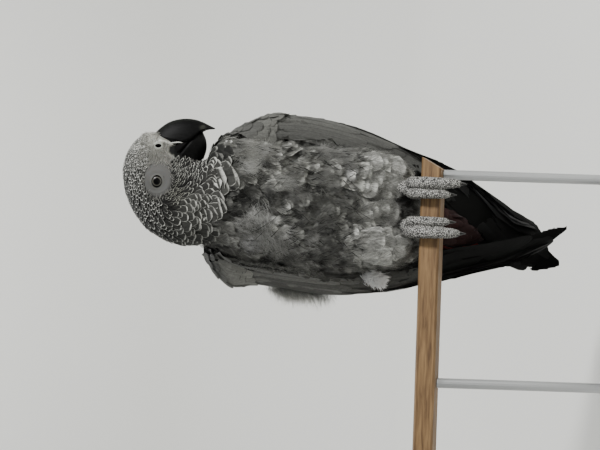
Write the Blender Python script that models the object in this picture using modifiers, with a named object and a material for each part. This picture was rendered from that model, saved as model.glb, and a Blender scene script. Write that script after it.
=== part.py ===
"""Grey parrot gripping a cut length of wooden bar, held by a plain display stand.

World frame: +X to the bird's left, -Y out of its breast side, +Z up, origin under the middle of the base.
Lengths below are in millimetres and are scaled to metres where a mesh is made.
"""

import math

import bmesh
import bpy
import numpy as np
from mathutils import Vector
from mathutils.bvhtree import BVHTree

MM = 0.001
GAP = 0.3

# Stand: flat base and two rods under the bar.
BASE_X, BASE_Y, BASE_Z = 170.0, 156.0, 12.0
BASE_BEVEL = 2.0
ROD_RADIUS = 3.0
ROD_LEFT_X, ROD_RIGHT_X = -78.0, 47.0

# Bar: a planed strip, rolled forward about its own length.
BAR_DEPTH, BAR_FACE, BAR_ROLL = 17.0, 12.0, 15.0
BAR_Z = 150.0
BAR_CHAMFER = 1.1
BAR_LEFT, BAR_RIGHT_TOP, BAR_RIGHT_BOTTOM = -130.0, 57.0, 50.0

# Body frame: origin on the bar's top between the feet, turned about Z.
BODY_X, BODY_Y, BODY_Z, BODY_YAW = 25.5, 5.0, 158.0, 12.0

# Trunk: height over the bar, centre y, half width, depth in front and behind (body frame).
TRUNK = (
    (-16.0, 44.0, 9.0, 6.0, 6.0),
    (-10.0, 40.0, 17.0, 15.0, 12.0),
    (2.0, 31.0, 27.0, 22.0, 19.0),
    (20.0, 22.0, 33.5, 29.0, 26.0),
    (45.0, 12.0, 38.5, 33.0, 32.0),
    (75.0, 3.5, 40.0, 34.5, 35.0),
    (98.0, -3.0, 38.5, 35.0, 34.0),
    (112.0, -8.0, 34.0, 31.0, 29.0),
    (122.0, -12.0, 28.0, 27.0, 22.0),
)
# Neck and jaw: height, centre x and y, half widths along X and Y (world frame).
NECK = (
    (258.0, 31.0, -4.0, 33.0, 30.0),
    (270.0, 31.5, -9.0, 33.0, 27.5),
    (279.0, 31.5, -12.0, 32.5, 25.0),
    (284.0, 28.5, -13.0, 29.0, 23.5),
    (290.0, 24.3, -14.0, 25.2, 22.0),
    (300.0, 23.0, -15.0, 24.0, 21.0),
    (310.0, 23.5, -15.0, 21.5, 19.5),
    (318.0, 25.0, -15.0, 16.0, 15.5),
)
# Head: distance forward of the eye, top and bottom from the eye's height, half width.
EYE_X, EYE_Z, HEAD_Y = 36.3, 311.9, -15.0
HEAD = (
    (-32.5, 1.0, -16.0, 8.0),
    (-28.0, 7.5, -24.0, 14.0),
    (-20.0, 14.5, -30.0, 18.0),
    (-9.0, 20.2, -32.0, 19.6),
    (2.0, 22.6, -30.0, 19.2),
    (11.0, 22.4, -24.5, 16.4),
    (19.0, 19.8, -18.0, 12.4),
    (25.5, 15.0, -10.0, 8.8),
    (29.2, 9.5, -3.0, 5.4),
)
# Thighs: height over the bar, centre x and y, half widths (body frame, the bird's left one).
THIGH = (
    (64.0, 19.0, 2.0, 14.0, 15.0),
    (40.0, 20.0, 1.0, 16.5, 17.0),
    (20.0, 20.5, 4.0, 14.5, 13.5),
    (9.0, 20.0, 7.0, 10.5, 9.0),
    (3.5, 19.5, 9.0, 5.5, 5.0),
)
REMESH_VOXEL = 1.9
FLESH_TRIANGLES = 1950

# Wings: height, then the front edge, the crest and the back edge in plan (world frame).
WING_RIGHT = (
    (287.5, (-6.0, 0.0), (-8.0, 8.0), (-3.0, 15.0)),
    (280.0, (-2.5, -9.0), (-17.0, 3.0), (1.4, 22.4)),
    (269.0, (-2.0, -12.0), (-25.3, 4.0), (0.9, 29.4)),
    (255.0, (-2.5, -11.0), (-23.4, 12.0), (1.2, 37.7)),
    (236.0, (-4.5, -6.0), (-26.4, 16.0), (2.9, 44.1)),
    (209.0, (-8.0, 6.0), (-28.6, 24.0), (4.5, 50.6)),
    (190.0, (-10.0, 17.0), (-27.3, 31.0), (4.7, 54.7)),
    (170.0, (-11.0, 28.0), (-25.2, 39.0), (1.9, 58.2)),
    (153.0, (-8.0, 38.0), (-21.6, 47.0), (-1.3, 58.6)),
    (135.0, (1.0, 48.0), (-16.4, 56.0), (-3.0, 63.5)),
    (111.0, (2.6, 58.0), (-10.2, 64.0), (-1.0, 75.0)),
    (91.0, (7.0, 66.0), (-4.9, 72.0), (0.0, 79.0)),
    (74.0, (14.0, 76.0), (2.5, 80.0), (5.5, 84.0)),
    (62.0, (17.8, 81.0), (8.4, 84.0), (10.5, 87.0)),
    (50.0, (19.6, 86.0), (17.2, 87.0), (18.2, 88.5)),
)
WING_LEFT = (
    (281.0, (57.0, 2.0), (60.0, 9.0), (50.0, 19.0)),
    (274.0, (60.0, -7.0), (65.4, 4.0), (43.0, 28.0)),
    (265.0, (62.0, -9.0), (71.4, 3.0), (38.0, 36.0)),
    (253.0, (64.0, -8.0), (76.6, 6.0), (34.6, 44.0)),
    (241.0, (66.0, -5.0), (78.6, 10.0), (31.0, 49.0)),
    (227.0, (66.3, 1.0), (78.0, 16.0), (28.5, 52.0)),
    (212.0, (64.0, 8.0), (76.4, 22.0), (26.5, 55.0)),
    (193.0, (60.0, 16.0), (72.6, 29.0), (24.5, 58.5)),
    (178.0, (57.0, 22.0), (67.4, 36.0), (25.6, 62.3)),
    (158.0, (51.0, 34.0), (61.0, 46.0), (28.3, 64.0)),
    (138.0, (33.0, 47.0), (54.5, 56.0), (29.2, 69.0)),
    (124.0, (20.2, 56.0), (47.5, 61.0), (27.0, 77.0)),
    (113.0, (11.6, 64.0), (39.7, 65.0), (28.0, 80.0)),
    (103.0, (3.8, 78.0), (31.6, 71.0), (25.5, 83.0)),
    (89.0, (-5.8, 90.5), (21.2, 79.0), (18.5, 89.0)),
    (72.0, (-12.0, 93.5), (14.8, 87.0), (11.5, 93.0)),
    (63.0, (-12.6, 94.0), (3.6, 91.5), (0.5, 94.5)),
    (53.0, (-8.6, 94.0), (-5.5, 93.6), (-4.2, 95.2)),
)
WING_REACH, WING_THICK_TIP, WING_EDGE = 24.0, 1.8, 1.5
WING_STEPS, WING_ACROSS = 22, 7
WING_BED = 2.4
COVERT_CUT_Z, PRIMARY_CUT_Z = 226.0, 150.0

# Tail and its coverts: distance down the tail, half width, half thickness.
TAIL_START = (0.0, 53.5, -0.5)
TAIL_END = (9.0, 102.0, -77.0)
TAIL = ((0.0, 10.0, 5.0), (0.3, 11.0, 3.6), (0.6, 13.5, 2.6), (0.85, 14.5, 1.8), (1.0, 9.0, 1.0))
VENT_START = (0.0, 44.5, -16.5)
VENT_END = (4.0, 74.0, -54.0)
VENT = ((0.0, 11.0, 6.0), (0.2, 13.0, 8.0), (0.5, 12.0, 7.0), (0.8, 8.0, 4.5), (1.0, 3.5, 2.0))

# Bill: ridge and cutting edge points of the upper half, rim and keel points of the lower (world x, z).
BILL_UPPER = (
    ((58.5, 316.5), (51.0, 301.0), 8.4),
    ((63.5, 315.4), (55.0, 299.0), 8.3),
    ((68.3, 310.4), (58.5, 296.6), 7.7),
    ((72.3, 304.0), (61.8, 293.6), 6.8),
    ((74.2, 297.0), (64.6, 290.4), 5.6),
    ((73.8, 290.4), (67.0, 287.6), 3.9),
    ((71.8, 285.2), (67.9, 284.0), 2.1),
    ((69.6, 281.0), (68.5, 280.8), 0.6),
)
BILL_LOWER = (
    ((47.5, 297.5), (43.0, 289.0), 8.0),
    ((52.5, 295.2), (48.5, 284.8), 8.2),
    ((56.6, 292.0), (54.0, 283.5), 7.7),
    ((60.5, 289.2), (58.8, 283.4), 6.4),
    ((63.8, 287.4), (62.6, 284.2), 4.6),
    ((65.9, 286.2), (65.3, 285.2), 2.6),
)
CERE = (
    ((56.5, 319.5), (51.5, 303.5), 12.9),
    ((61.0, 318.6), (55.5, 301.8), 11.0),
    ((64.4, 316.3), (58.2, 300.2), 9.0),
)
EYE_RADIUS, EYE_SINK, HEAD_HALF_WIDTH = 5.6, 4.1, 18.7

# Feet: centre x of each foot, and the toes' offsets, radii and reach.
FOOT_X = {"right": 15.5, "left": 38.0}
FOOT_SIDE = {"right": -1.0, "left": 1.0}
TOE_FRONT = ((-3.5, 13.6), (-8.6, 12.4), (-12.3, 6.6), (-13.4, -1.0))
TOE_BACK = ((5.0, 12.0), (10.8, 10.0), (14.6, 4.0), (14.3, -3.0))
FRONT_TIPS = {"outer": ((-13.6, -8.0), (-12.3, -14.6)), "inner": ((-13.5, -5.0), (-12.7, -8.6))}
BACK_TIPS = {"outer": ((13.0, -7.0), (10.6, -11.6)), "inner": ((13.8, -5.0), (12.4, -8.2))}
TOE_RADIUS = {"outer": 3.5, "inner": 2.7}
TOE_OFFSET = {"outer": 3.4, "inner": -3.2}
CLAW_LENGTH, CLAW_RADIUS = 6.0, 1.5
TOE_RINGS, CLAW_RINGS = 9, 5
# Shank and sole: outward lean, y, height over the bar's axis, radius.
SHANK = ((0.0, -1.6, 12.4, 3.3), (0.0, 1.6, 12.6, 4.7), (0.7, 5.4, 16.8, 4.4), (1.6, 8.8, 24.0, 3.8))


def turned(points):
    """Body-frame points in the world frame."""
    a = math.radians(BODY_YAW)
    p = np.asarray(points, float)
    x = BODY_X + p[..., 0] * math.cos(a) - p[..., 1] * math.sin(a)
    y = BODY_Y + p[..., 0] * math.sin(a) + p[..., 1] * math.cos(a)
    return np.stack([x, y, BODY_Z + p[..., 2]], axis=-1)


def material(name, colour, roughness):
    mat = bpy.data.materials.new(name)
    mat.use_nodes = True
    shader = mat.node_tree.nodes["Principled BSDF"]
    shader.inputs["Base Color"].default_value = (*colour, 1.0)
    shader.inputs["Roughness"].default_value = roughness
    mat.diffuse_color = (*colour, 1.0)
    return mat


def new_object(name, bm, mat=None, hidden=False):
    bmesh.ops.recalc_face_normals(bm, faces=bm.faces)
    mesh = bpy.data.meshes.new(name)
    bm.to_mesh(mesh)
    bm.free()
    obj = bpy.data.objects.new(name, mesh)
    (helpers if hidden else model).objects.link(obj)
    obj.hide_render = hidden
    if hidden:
        obj.display_type = "WIRE"
    if mat:
        mesh.materials.append(mat)
    return obj


def loft(rings):
    """A closed bmesh through rings of equal length, with a fan over each end."""
    bm = bmesh.new()
    rows = [[bm.verts.new(np.asarray(p) * MM) for p in ring] for ring in rings]
    count = len(rows[0])
    for lower, upper in zip(rows, rows[1:]):
        for i in range(count):
            j = (i + 1) % count
            bm.faces.new((lower[i], lower[j], upper[j], upper[i]))
    for ring, points in ((rows[0], rings[0]), (rows[-1], rings[-1])):
        tip = bm.verts.new(np.mean(points, axis=0) * MM)
        for i in range(count):
            bm.faces.new((ring[i], ring[(i + 1) % count], tip))
    return bm


def smooth_rows(rows, count):
    """Rows of numbers resampled evenly along a Catmull-Rom curve through them."""
    rows = np.asarray(rows, float)
    padded = np.concatenate([2 * rows[:1] - rows[1:2], rows, 2 * rows[-1:] - rows[-2:-1]])
    out = []
    for u in np.linspace(0, len(rows) - 1, count):
        i = min(int(u), len(rows) - 2)
        t = u - i
        a, b, c, d = padded[i : i + 4]
        out.append(0.5 * (2 * b + (c - a) * t + (2 * a - 5 * b + 4 * c - d) * t * t
                          + (3 * b - a - 3 * c + d) * t ** 3))
    return np.array(out)


def around(count):
    return [2 * math.pi * i / count for i in range(count)]


def tube(path, radii, sides, squash=1.0):
    """Rings round a path, flattened across its own plane by squash."""
    path = np.asarray(path, float)
    ways = np.gradient(path, axis=0)
    ways /= np.linalg.norm(ways, axis=1)[:, None]
    rings = []
    for point, way, radius in zip(path, ways, radii):
        side = np.cross(way, (1.0, 0.0, 0.0))
        side /= np.linalg.norm(side)
        across = np.cross(side, way)
        rings.append([point + radius * (across * math.cos(a) + side * squash * math.sin(a))
                      for a in around(sides)])
    return rings


def baked(obj):
    """The object with its modifiers made part of its mesh."""
    graph = bpy.context.evaluated_depsgraph_get()
    graph.update()
    mesh = bpy.data.meshes.new_from_object(obj.evaluated_get(graph))
    obj.modifiers.clear()
    obj.data = mesh
    return obj


def copy_of(obj, name, hidden=False):
    twin = bpy.data.objects.new(name, obj.data.copy())
    (helpers if hidden else model).objects.link(twin)
    twin.hide_render = hidden
    return twin


def inflated(obj, name, by):
    twin = copy_of(obj, name, hidden=True)
    twin.display_type = "WIRE"
    swell = twin.modifiers.new("swell", "DISPLACE")
    swell.strength = by * MM
    swell.mid_level = 0.0
    return baked(twin)


def combine(obj, other, operation):
    step = obj.modifiers.new(operation.lower(), "BOOLEAN")
    step.operation = operation
    step.solver = "EXACT"
    step.object = other
    return baked(obj)


def keep_largest(obj):
    """Drops the crumbs that a cut leaves."""
    bm = bmesh.new()
    bm.from_mesh(obj.data)
    left = set(bm.verts)
    islands = []
    while left:
        stack = [left.pop()]
        island = set(stack)
        while stack:
            for edge in stack.pop().link_edges:
                for vert in edge.verts:
                    if vert in left:
                        left.remove(vert)
                        island.add(vert)
                        stack.append(vert)
        islands.append(island)
    islands.sort(key=len)
    bmesh.ops.delete(bm, geom=[v for island in islands[:-1] for v in island], context="VERTS")
    bm.to_mesh(obj.data)
    bm.free()
    return obj


def slice_of(obj, name, mat, planes):
    """The part of a closed mesh on the inner side of each plane (point in mm, outward normal)."""
    part = copy_of(obj, name)
    bm = bmesh.new()
    bm.from_mesh(part.data)
    for point, normal in planes:
        every = bm.verts[:] + bm.edges[:] + bm.faces[:]
        cut = bmesh.ops.bisect_plane(bm, geom=every, plane_co=np.asarray(point) * MM,
                                     plane_no=normal, clear_outer=True, dist=1e-7)
        edges = [e for e in cut["geom_cut"] if isinstance(e, bmesh.types.BMEdge)]
        rim = [e for e in edges if e.is_boundary]
        bmesh.ops.triangle_fill(bm, edges=rim, use_beauty=True, use_dissolve=False)
    bmesh.ops.recalc_face_normals(bm, faces=bm.faces)
    bm.to_mesh(part.data)
    bm.free()
    part.data.materials.clear()
    part.data.materials.append(mat)
    return keep_largest(part)


for old in list(bpy.data.objects):
    bpy.data.objects.remove(old)
model = bpy.data.collections.new("grey_parrot")
helpers = bpy.data.collections.new("cutters")
helpers.hide_render = True
bpy.context.scene.collection.children.link(model)
bpy.context.scene.collection.children.link(helpers)

FEATHER_GREY = material("feather_grey", (0.16, 0.16, 0.155), 0.85)
FEATHER_PALE = material("feather_pale", (0.30, 0.30, 0.29), 0.85)
FEATHER_DARK = material("feather_dark", (0.06, 0.06, 0.062), 0.7)
FEATHER_RED = material("feather_red", (0.42, 0.03, 0.03), 0.8)
FACE_SKIN = material("face_skin", (0.55, 0.54, 0.52), 0.7)
BILL_HORN = material("bill_horn", (0.035, 0.035, 0.033), 0.4)
CLAW_HORN = material("claw_horn", (0.05, 0.05, 0.05), 0.45)
FOOT_SCALE = material("foot_scale", (0.40, 0.40, 0.39), 0.7)
EYE_GLASS = material("eye_glass", (0.02, 0.02, 0.02), 0.08)
BAR_WOOD = material("bar_wood", (0.34, 0.20, 0.10), 0.6)
STAND_PAINT = material("stand_paint", (0.03, 0.03, 0.03), 0.5)
STAND_STEEL = material("stand_steel", (0.55, 0.55, 0.55), 0.35)

# Bar: a chamfered rectangle swept along X, the far end cut on a slant.
roll = math.radians(BAR_ROLL)
half_y, half_z = BAR_DEPTH / 2, BAR_FACE / 2
profile = []
for sy, sz in ((1, 1), (-1, 1), (-1, -1), (1, -1)):
    flat, tall = (half_y - BAR_CHAMFER, half_z), (half_y, half_z - BAR_CHAMFER)
    pair = (tall, flat) if sy == sz else (flat, tall)
    profile += [(sy * a, sz * b) for a, b in pair]
bar_rings = []
for end in ("left", "right"):
    ring = []
    for a, b in profile:
        y = a * math.cos(roll) + b * math.sin(roll)
        z = -a * math.sin(roll) + b * math.cos(roll)
        share = (b + half_z) / BAR_FACE
        reach = BAR_RIGHT_BOTTOM + (BAR_RIGHT_TOP - BAR_RIGHT_BOTTOM) * share
        ring.append((BAR_LEFT if end == "left" else reach, y, BAR_Z + z))
    bar_rings.append(ring)
bar = new_object("perch_bar", loft(bar_rings), BAR_WOOD)

# Stand: the rods stop just under the bar's sloping underside.
base = bmesh.new()
bmesh.ops.create_cube(base, size=1.0)
for vert in base.verts:
    vert.co.x *= BASE_X * MM
    vert.co.y *= BASE_Y * MM
    vert.co.z = (vert.co.z + 0.5) * BASE_Z * MM
bmesh.ops.bevel(base, geom=base.edges[:], offset=BASE_BEVEL * MM, segments=2, affect="EDGES",
                profile=0.5)
new_object("stand_base", base, STAND_PAINT)
for name, x in (("stand_rod_left", ROD_LEFT_X), ("stand_rod_right", ROD_RIGHT_X)):
    circle = [(ROD_RADIUS * math.cos(a), ROD_RADIUS * math.sin(a)) for a in around(16)]
    under = BAR_Z - half_z / math.cos(roll) - GAP - 0.05
    low = [(x + a, b, BASE_Z + GAP) for a, b in circle]
    high = [(x + a, b, under - b * math.tan(roll)) for a, b in circle]
    new_object(name, loft([low, high]), STAND_STEEL)

# Flesh: trunk, neck, head and thighs fused, evened out, then parted below.
pieces = []
rows = smooth_rows(TRUNK, 22)
rings = [turned([(w * math.sin(a), c - (f if math.cos(a) > 0 else b) * math.cos(a), z)
                 for a in around(28)]) for z, c, w, f, b in rows]
pieces.append(new_object("trunk_form", loft(rings), hidden=True))
rows = smooth_rows(NECK, 18)
rings = [[(cx + rx * math.sin(a), cy - ry * math.cos(a), z) for a in around(28)]
         for z, cx, cy, rx, ry in rows]
pieces.append(new_object("neck_form", loft(rings), hidden=True))
rows = smooth_rows(HEAD, 20)
rings = [[(EYE_X + x, HEAD_Y + w * math.sin(a),
           EYE_Z + (top + low) / 2 + (top - low) / 2 * math.cos(a)) for a in around(24)]
         for x, top, low, w in rows]
pieces.append(new_object("head_form", loft(rings), hidden=True))
for side in (-1, 1):
    rows = smooth_rows(THIGH, 12)
    rings = [turned([(side * (cx + rx * math.sin(a)), cy - ry * math.cos(a), z)
                     for a in around(20)]) for z, cx, cy, rx, ry in rows]
    pieces.append(new_object(f"thigh_form_{side}", loft(rings), hidden=True))
flesh = copy_of(pieces[0], "flesh_form", hidden=True)
for piece in pieces[1:]:
    combine(flesh, piece, "UNION")
remesh = flesh.modifiers.new("even", "REMESH")
remesh.mode = "VOXEL"
remesh.voxel_size = REMESH_VOXEL * MM
ease = flesh.modifiers.new("ease", "SMOOTH")
ease.factor = 0.5
ease.iterations = 6
baked(flesh)
thin = flesh.modifiers.new("thin", "DECIMATE")
thin.ratio = FLESH_TRIANGLES / (2.0 * len(flesh.data.polygons))
thin.use_collapse_triangulate = True
baked(flesh)
clear_of_flesh = inflated(flesh, "flesh_clearance", GAP)

# Eyes: balls sunk in the sides of the head, each in its own socket.
for name, side in (("eye_right", -1), ("eye_left", 1)):
    ball = bmesh.new()
    bmesh.ops.create_uvsphere(ball, u_segments=12, v_segments=8, radius=EYE_RADIUS * MM)
    centre = (EYE_X, HEAD_Y + side * (HEAD_HALF_WIDTH - EYE_SINK), EYE_Z)
    bmesh.ops.translate(ball, verts=ball.verts, vec=[c * MM for c in centre])
    eye = new_object(name, ball, EYE_GLASS)
    combine(flesh, inflated(eye, name + "_socket", GAP), "DIFFERENCE")


# Bill and cere: saddles lofted along the profile, cut clear of the head and of each other.
def saddle(stations, count):
    """Rings from a ridge point over both sides to an underside, in the head's mid plane."""
    flat = [(*ridge, *under, w) for ridge, under, w in stations]
    rings = []
    for ax, az, bx, bz, w in smooth_rows(flat, count):
        ring = []
        for a in around(14):
            along = 0.5 + 0.5 * math.cos(a)
            ring.append((bx + (ax - bx) * along, HEAD_Y + w * math.sin(a), bz + (az - bz) * along))
        rings.append(ring)
    return rings


bill_upper = new_object("bill_upper", loft(saddle(BILL_UPPER, 12)), BILL_HORN)
bill_lower = new_object("bill_lower", loft(saddle(BILL_LOWER, 8)), BILL_HORN)
cere = new_object("cere", loft(saddle(CERE, 4)), FACE_SKIN)
for piece in (bill_upper, bill_lower):
    combine(piece, clear_of_flesh, "DIFFERENCE")
    keep_largest(piece)
bill_clearance = inflated(bill_upper, "bill_clearance", GAP)
combine(cere, bill_clearance, "DIFFERENCE")
combine(bill_lower, bill_clearance, "DIFFERENCE")
for piece in (bill_lower, cere):
    keep_largest(piece)
cere_clearance = inflated(cere, "cere_clearance", GAP)
for piece in (flesh, bill_upper, bill_lower):
    combine(piece, cere_clearance, "DIFFERENCE")
    keep_largest(piece)


# Flesh parted by thin cuts into head, neck, breast, belly and thighs.
def cut_pair(point, normal):
    """The same cut seen from its two sides, half a gap to each."""
    n = np.asarray(normal, float) / np.linalg.norm(normal)
    p = np.asarray(point, float)
    return (p - n * GAP / 2, n), (p + n * GAP / 2, -n)


head_low, head_up = cut_pair((EYE_X, HEAD_Y, 291.5), (-0.32, 0.0, -1.0))
neck_low, neck_up = cut_pair((31.0, -8.0, 268.0), (0.0, -0.12, -1.0))
breast_low, breast_up = cut_pair((BODY_X, 0.0, 222.0), (0.0, -0.25, -1.0))
thigh_low, thigh_up = cut_pair((BODY_X, 0.0, BODY_Z + 26.0), (0.0, 0.0, -1.0))
yaw = math.radians(BODY_YAW)
seam_left, seam_right = cut_pair(turned((0.0, 0.0, 0.0)), (math.cos(yaw), math.sin(yaw), 0.0))
slice_of(flesh, "head", FEATHER_PALE, [head_low])
slice_of(flesh, "neck", FEATHER_GREY, [head_up, neck_low])
slice_of(flesh, "breast", FEATHER_GREY, [neck_up, breast_low])
slice_of(flesh, "belly", FEATHER_GREY, [breast_up, thigh_low])
slice_of(flesh, "thigh_right", FEATHER_PALE, [thigh_up, seam_left])
slice_of(flesh, "thigh_left", FEATHER_PALE, [thigh_up, seam_right])


# Wings: a curved sheet whose inner face stops at the body's clearance.
def seated(outer, inner):
    """The two ends of a wall, the outer kept off the body and the inner stopped where it meets it."""
    out, back = Vector(outer) * MM, Vector(inner) * MM
    near, normal, _, _ = wing_bed.find_nearest(out)
    if (out - near).dot(normal) < WING_EDGE * MM:
        out = near + normal * WING_EDGE * MM
    hit = wing_bed.ray_cast(out, back - out, (back - out).length)[0]
    return tuple(out / MM), tuple((hit or back) / MM)


def wing_form(name, table):
    flat = [(z, *front, *crest, *back) for z, front, crest, back in table]
    rows = smooth_rows(flat, WING_STEPS)
    rings = []
    for i, row in enumerate(rows):
        z, share = row[0], i / (WING_STEPS - 1)
        f, c, b = row[1:3], row[3:5], row[5:7]
        beside_body = 0.5 + 0.5 * math.tanh((z - BODY_Z) / 14.0)
        thick = WING_THICK_TIP + 3.0 * (1 - share) + WING_REACH * beside_body
        heights, middles = [t[0] for t in TRUNK], [t[1] for t in TRUNK]
        spine = turned((0.0, np.interp(z - BODY_Z, heights, middles), 0.0))[:2]
        target = (f + b) / 2 * (1 - beside_body) + spine * beside_body
        walls = []
        for t in np.linspace(0, 1, WING_ACROSS + 1):
            point = f * (2 * t * t - 3 * t + 1) + c * (4 * t - 4 * t * t) + b * (2 * t * t - t)
            depth = WING_EDGE + (thick - WING_EDGE) * math.sin(math.pi * t)
            inward = target - point
            far = np.linalg.norm(inward)
            end = point + inward / far * min(depth, 0.6 * far)
            walls.append(seated((*point, z), (*end, z)))
        rings.append([outer for outer, _ in walls] + [inner for _, inner in walls[::-1]])
    return new_object(name, loft(rings), hidden=True)


bed = inflated(flesh, "wing_bed", WING_BED)
wing_bed = BVHTree.FromObject(bed, bpy.context.evaluated_depsgraph_get())
covert_low, covert_up = cut_pair((0.0, 0.0, COVERT_CUT_Z), (0.0, -0.25, -1.0))
primary_low, primary_up = cut_pair((0.0, 50.0, PRIMARY_CUT_Z), (0.0, -0.45, -1.0))
clearances = [clear_of_flesh]
for side, table in (("right", WING_RIGHT), ("left", WING_LEFT)):
    wing = wing_form(f"wing_form_{side}", table)
    clearances.append(inflated(wing, f"wing_clearance_{side}", 2 * GAP))
    slice_of(wing, f"wing_{side}_coverts", FEATHER_DARK, [covert_low])
    slice_of(wing, f"wing_{side}_secondaries", FEATHER_GREY, [covert_up, primary_low])
    slice_of(wing, f"wing_{side}_primaries", FEATHER_DARK, [primary_up])

# Tail and undertail coverts: flattened tubes leaving the rump.
across = np.array([math.cos(yaw), math.sin(yaw), 0.0])
for name, start, end, stations in (
    ("tail", TAIL_START, TAIL_END, TAIL),
    ("undertail_coverts", VENT_START, VENT_END, VENT),
):
    start, end = turned(start), turned(end)
    way = (end - start) / np.linalg.norm(end - start)
    out = np.cross(across, way)
    rings = [[start + (end - start) * t + across * w * math.sin(a) + out * h * math.cos(a)
              for a in around(12)] for t, w, h in smooth_rows(stations, 8)]
    piece = new_object(name, loft(rings), FEATHER_RED)
    for cutter in clearances:
        combine(piece, cutter, "DIFFERENCE")
    keep_largest(piece)
    clearances.append(inflated(piece, name + "_clearance", GAP))

# Feet: a shank and sole, four toes round the bar and a claw on each toe.
bar_clearance = inflated(bar, "bar_clearance", GAP)
for side in ("right", "left"):
    x, sign = FOOT_X[side], FOOT_SIDE[side]
    shank = [(x + lean * sign, y, BAR_Z + z) for lean, y, z, _ in SHANK]
    radii = smooth_rows([(r,) for _, _, _, r in SHANK], 7)[:, 0]
    foot = new_object(f"foot_{side}", loft(tube(smooth_rows(shank, 7), radii, 10)), FOOT_SCALE)
    combine(foot, clear_of_flesh, "DIFFERENCE")
    combine(foot, bar_clearance, "DIFFERENCE")
    keep_largest(foot)
    foot_clearance = inflated(foot, f"foot_clearance_{side}", GAP)
    for place, offsets, tips in (("front", TOE_FRONT, FRONT_TIPS), ("hind", TOE_BACK, BACK_TIPS)):
        for which in ("outer", "inner"):
            points = smooth_rows(offsets + tips[which], TOE_RINGS)
            shares = np.linspace(0, 1, TOE_RINGS)
            toe_x = x + sign * TOE_OFFSET[which]
            path = [(toe_x, y, BAR_Z + z) for y, z in points]
            radii = [TOE_RADIUS[which] * (1.0 - 0.28 * s * s) for s in shares]
            radii[-1] *= 0.72
            toe = new_object(f"toe_{side}_{place}_{which}", loft(tube(path, radii, 8)), FOOT_SCALE)
            for cutter in (foot_clearance, bar_clearance, clear_of_flesh):
                combine(toe, cutter, "DIFFERENCE")
            keep_largest(toe)
            tip, way = np.array(path[-1]), np.array(path[-1]) - np.array(path[-2])
            way /= np.linalg.norm(way)
            inward = np.array([0.0, -math.copysign(1.0, tip[1]), 0.0])
            curve = [tip + CLAW_LENGTH * (way * (s - 0.15) + inward * 0.45 * s * s)
                     for s in np.linspace(0, 1, CLAW_RINGS)]
            radii = [CLAW_RADIUS * (1.0 - 0.86 * s) for s in np.linspace(0, 1, CLAW_RINGS)]
            claw = new_object(f"claw_{side}_{place}_{which}", loft(tube(curve, radii, 6)), CLAW_HORN)
            combine(claw, inflated(toe, f"toe_clearance_{side}_{place}_{which}", GAP), "DIFFERENCE")
            combine(claw, bar_clearance, "DIFFERENCE")
            keep_largest(claw)
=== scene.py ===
import math

import bmesh
import bpy
import numpy as np
from mathutils import Matrix, Vector
from mathutils.bvhtree import BVHTree
from mathutils.kdtree import KDTree


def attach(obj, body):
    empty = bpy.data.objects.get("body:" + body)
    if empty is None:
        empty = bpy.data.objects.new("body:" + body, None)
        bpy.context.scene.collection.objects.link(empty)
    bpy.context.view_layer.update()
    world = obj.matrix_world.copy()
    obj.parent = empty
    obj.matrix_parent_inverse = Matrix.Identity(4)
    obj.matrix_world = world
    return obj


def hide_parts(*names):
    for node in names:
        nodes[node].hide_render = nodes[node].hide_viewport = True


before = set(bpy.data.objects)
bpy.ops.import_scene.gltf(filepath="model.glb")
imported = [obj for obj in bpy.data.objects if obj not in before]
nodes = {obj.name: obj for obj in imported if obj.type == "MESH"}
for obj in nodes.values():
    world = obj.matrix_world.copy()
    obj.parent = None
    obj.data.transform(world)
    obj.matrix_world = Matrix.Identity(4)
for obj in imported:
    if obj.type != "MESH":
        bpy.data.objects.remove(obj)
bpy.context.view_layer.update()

rng = np.random.default_rng(7)


# Studio: a pale paper sweep, curved up behind the stand, with one soft lamp high on the bill's side
# and a wide pale sky for fill. None of it belongs to the model.
def rgb(code):
    """Linear colour of an sRGB hex code."""
    parts = [int(code[i:i + 2], 16) / 255 for i in (0, 2, 4)]
    return tuple(c / 12.92 if c <= 0.04045 else ((c + 0.055) / 1.055) ** 2.4 for c in parts)


def hue(code):
    """The same colour as an array, to blend and scale."""
    return np.array(rgb(code))


def node(mat, kind, inputs=None, **settings):
    """Adds a shader node with its settings, its inputs being values or other nodes' outputs."""
    made = mat.node_tree.nodes.new("ShaderNode" + kind)
    for key, value in settings.items():
        setattr(made, key, value)
    for key, value in (inputs or {}).items():
        if isinstance(value, bpy.types.NodeSocket):
            mat.node_tree.links.new(value, made.inputs[key])
        else:
            made.inputs[key].default_value = value
    return made


def material(name, colour=None, **inputs):
    """A Principled material, of one colour unless a colour is wired to it later, and its shader node."""
    mat = bpy.data.materials.new(name)
    mat.use_nodes = True
    shader = mat.node_tree.nodes["Principled BSDF"]
    if colour:
        inputs["Base_Color"] = (*rgb(colour), 1)
    for key, value in inputs.items():
        shader.inputs[key.replace("_", " ")].default_value = value
    return mat, shader


def wired(mat, shader, **outputs):
    """Links outputs to the shader's sockets, whose names have underscores for spaces."""
    for key, output in outputs.items():
        mat.node_tree.links.new(output, shader.inputs[key.replace("_", " ")])


def mesh_object(name, verts, faces, *mats):
    """A smooth mesh with its materials, in the scene."""
    mesh = bpy.data.meshes.new(name)
    mesh.from_pydata([tuple(v) for v in verts], [], [tuple(f) for f in faces])
    mesh.update()
    mesh.shade_smooth()
    obj = bpy.data.objects.new(name, mesh)
    bpy.context.scene.collection.objects.link(obj)
    for mat in mats:
        mesh.materials.append(mat)
    return obj


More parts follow.
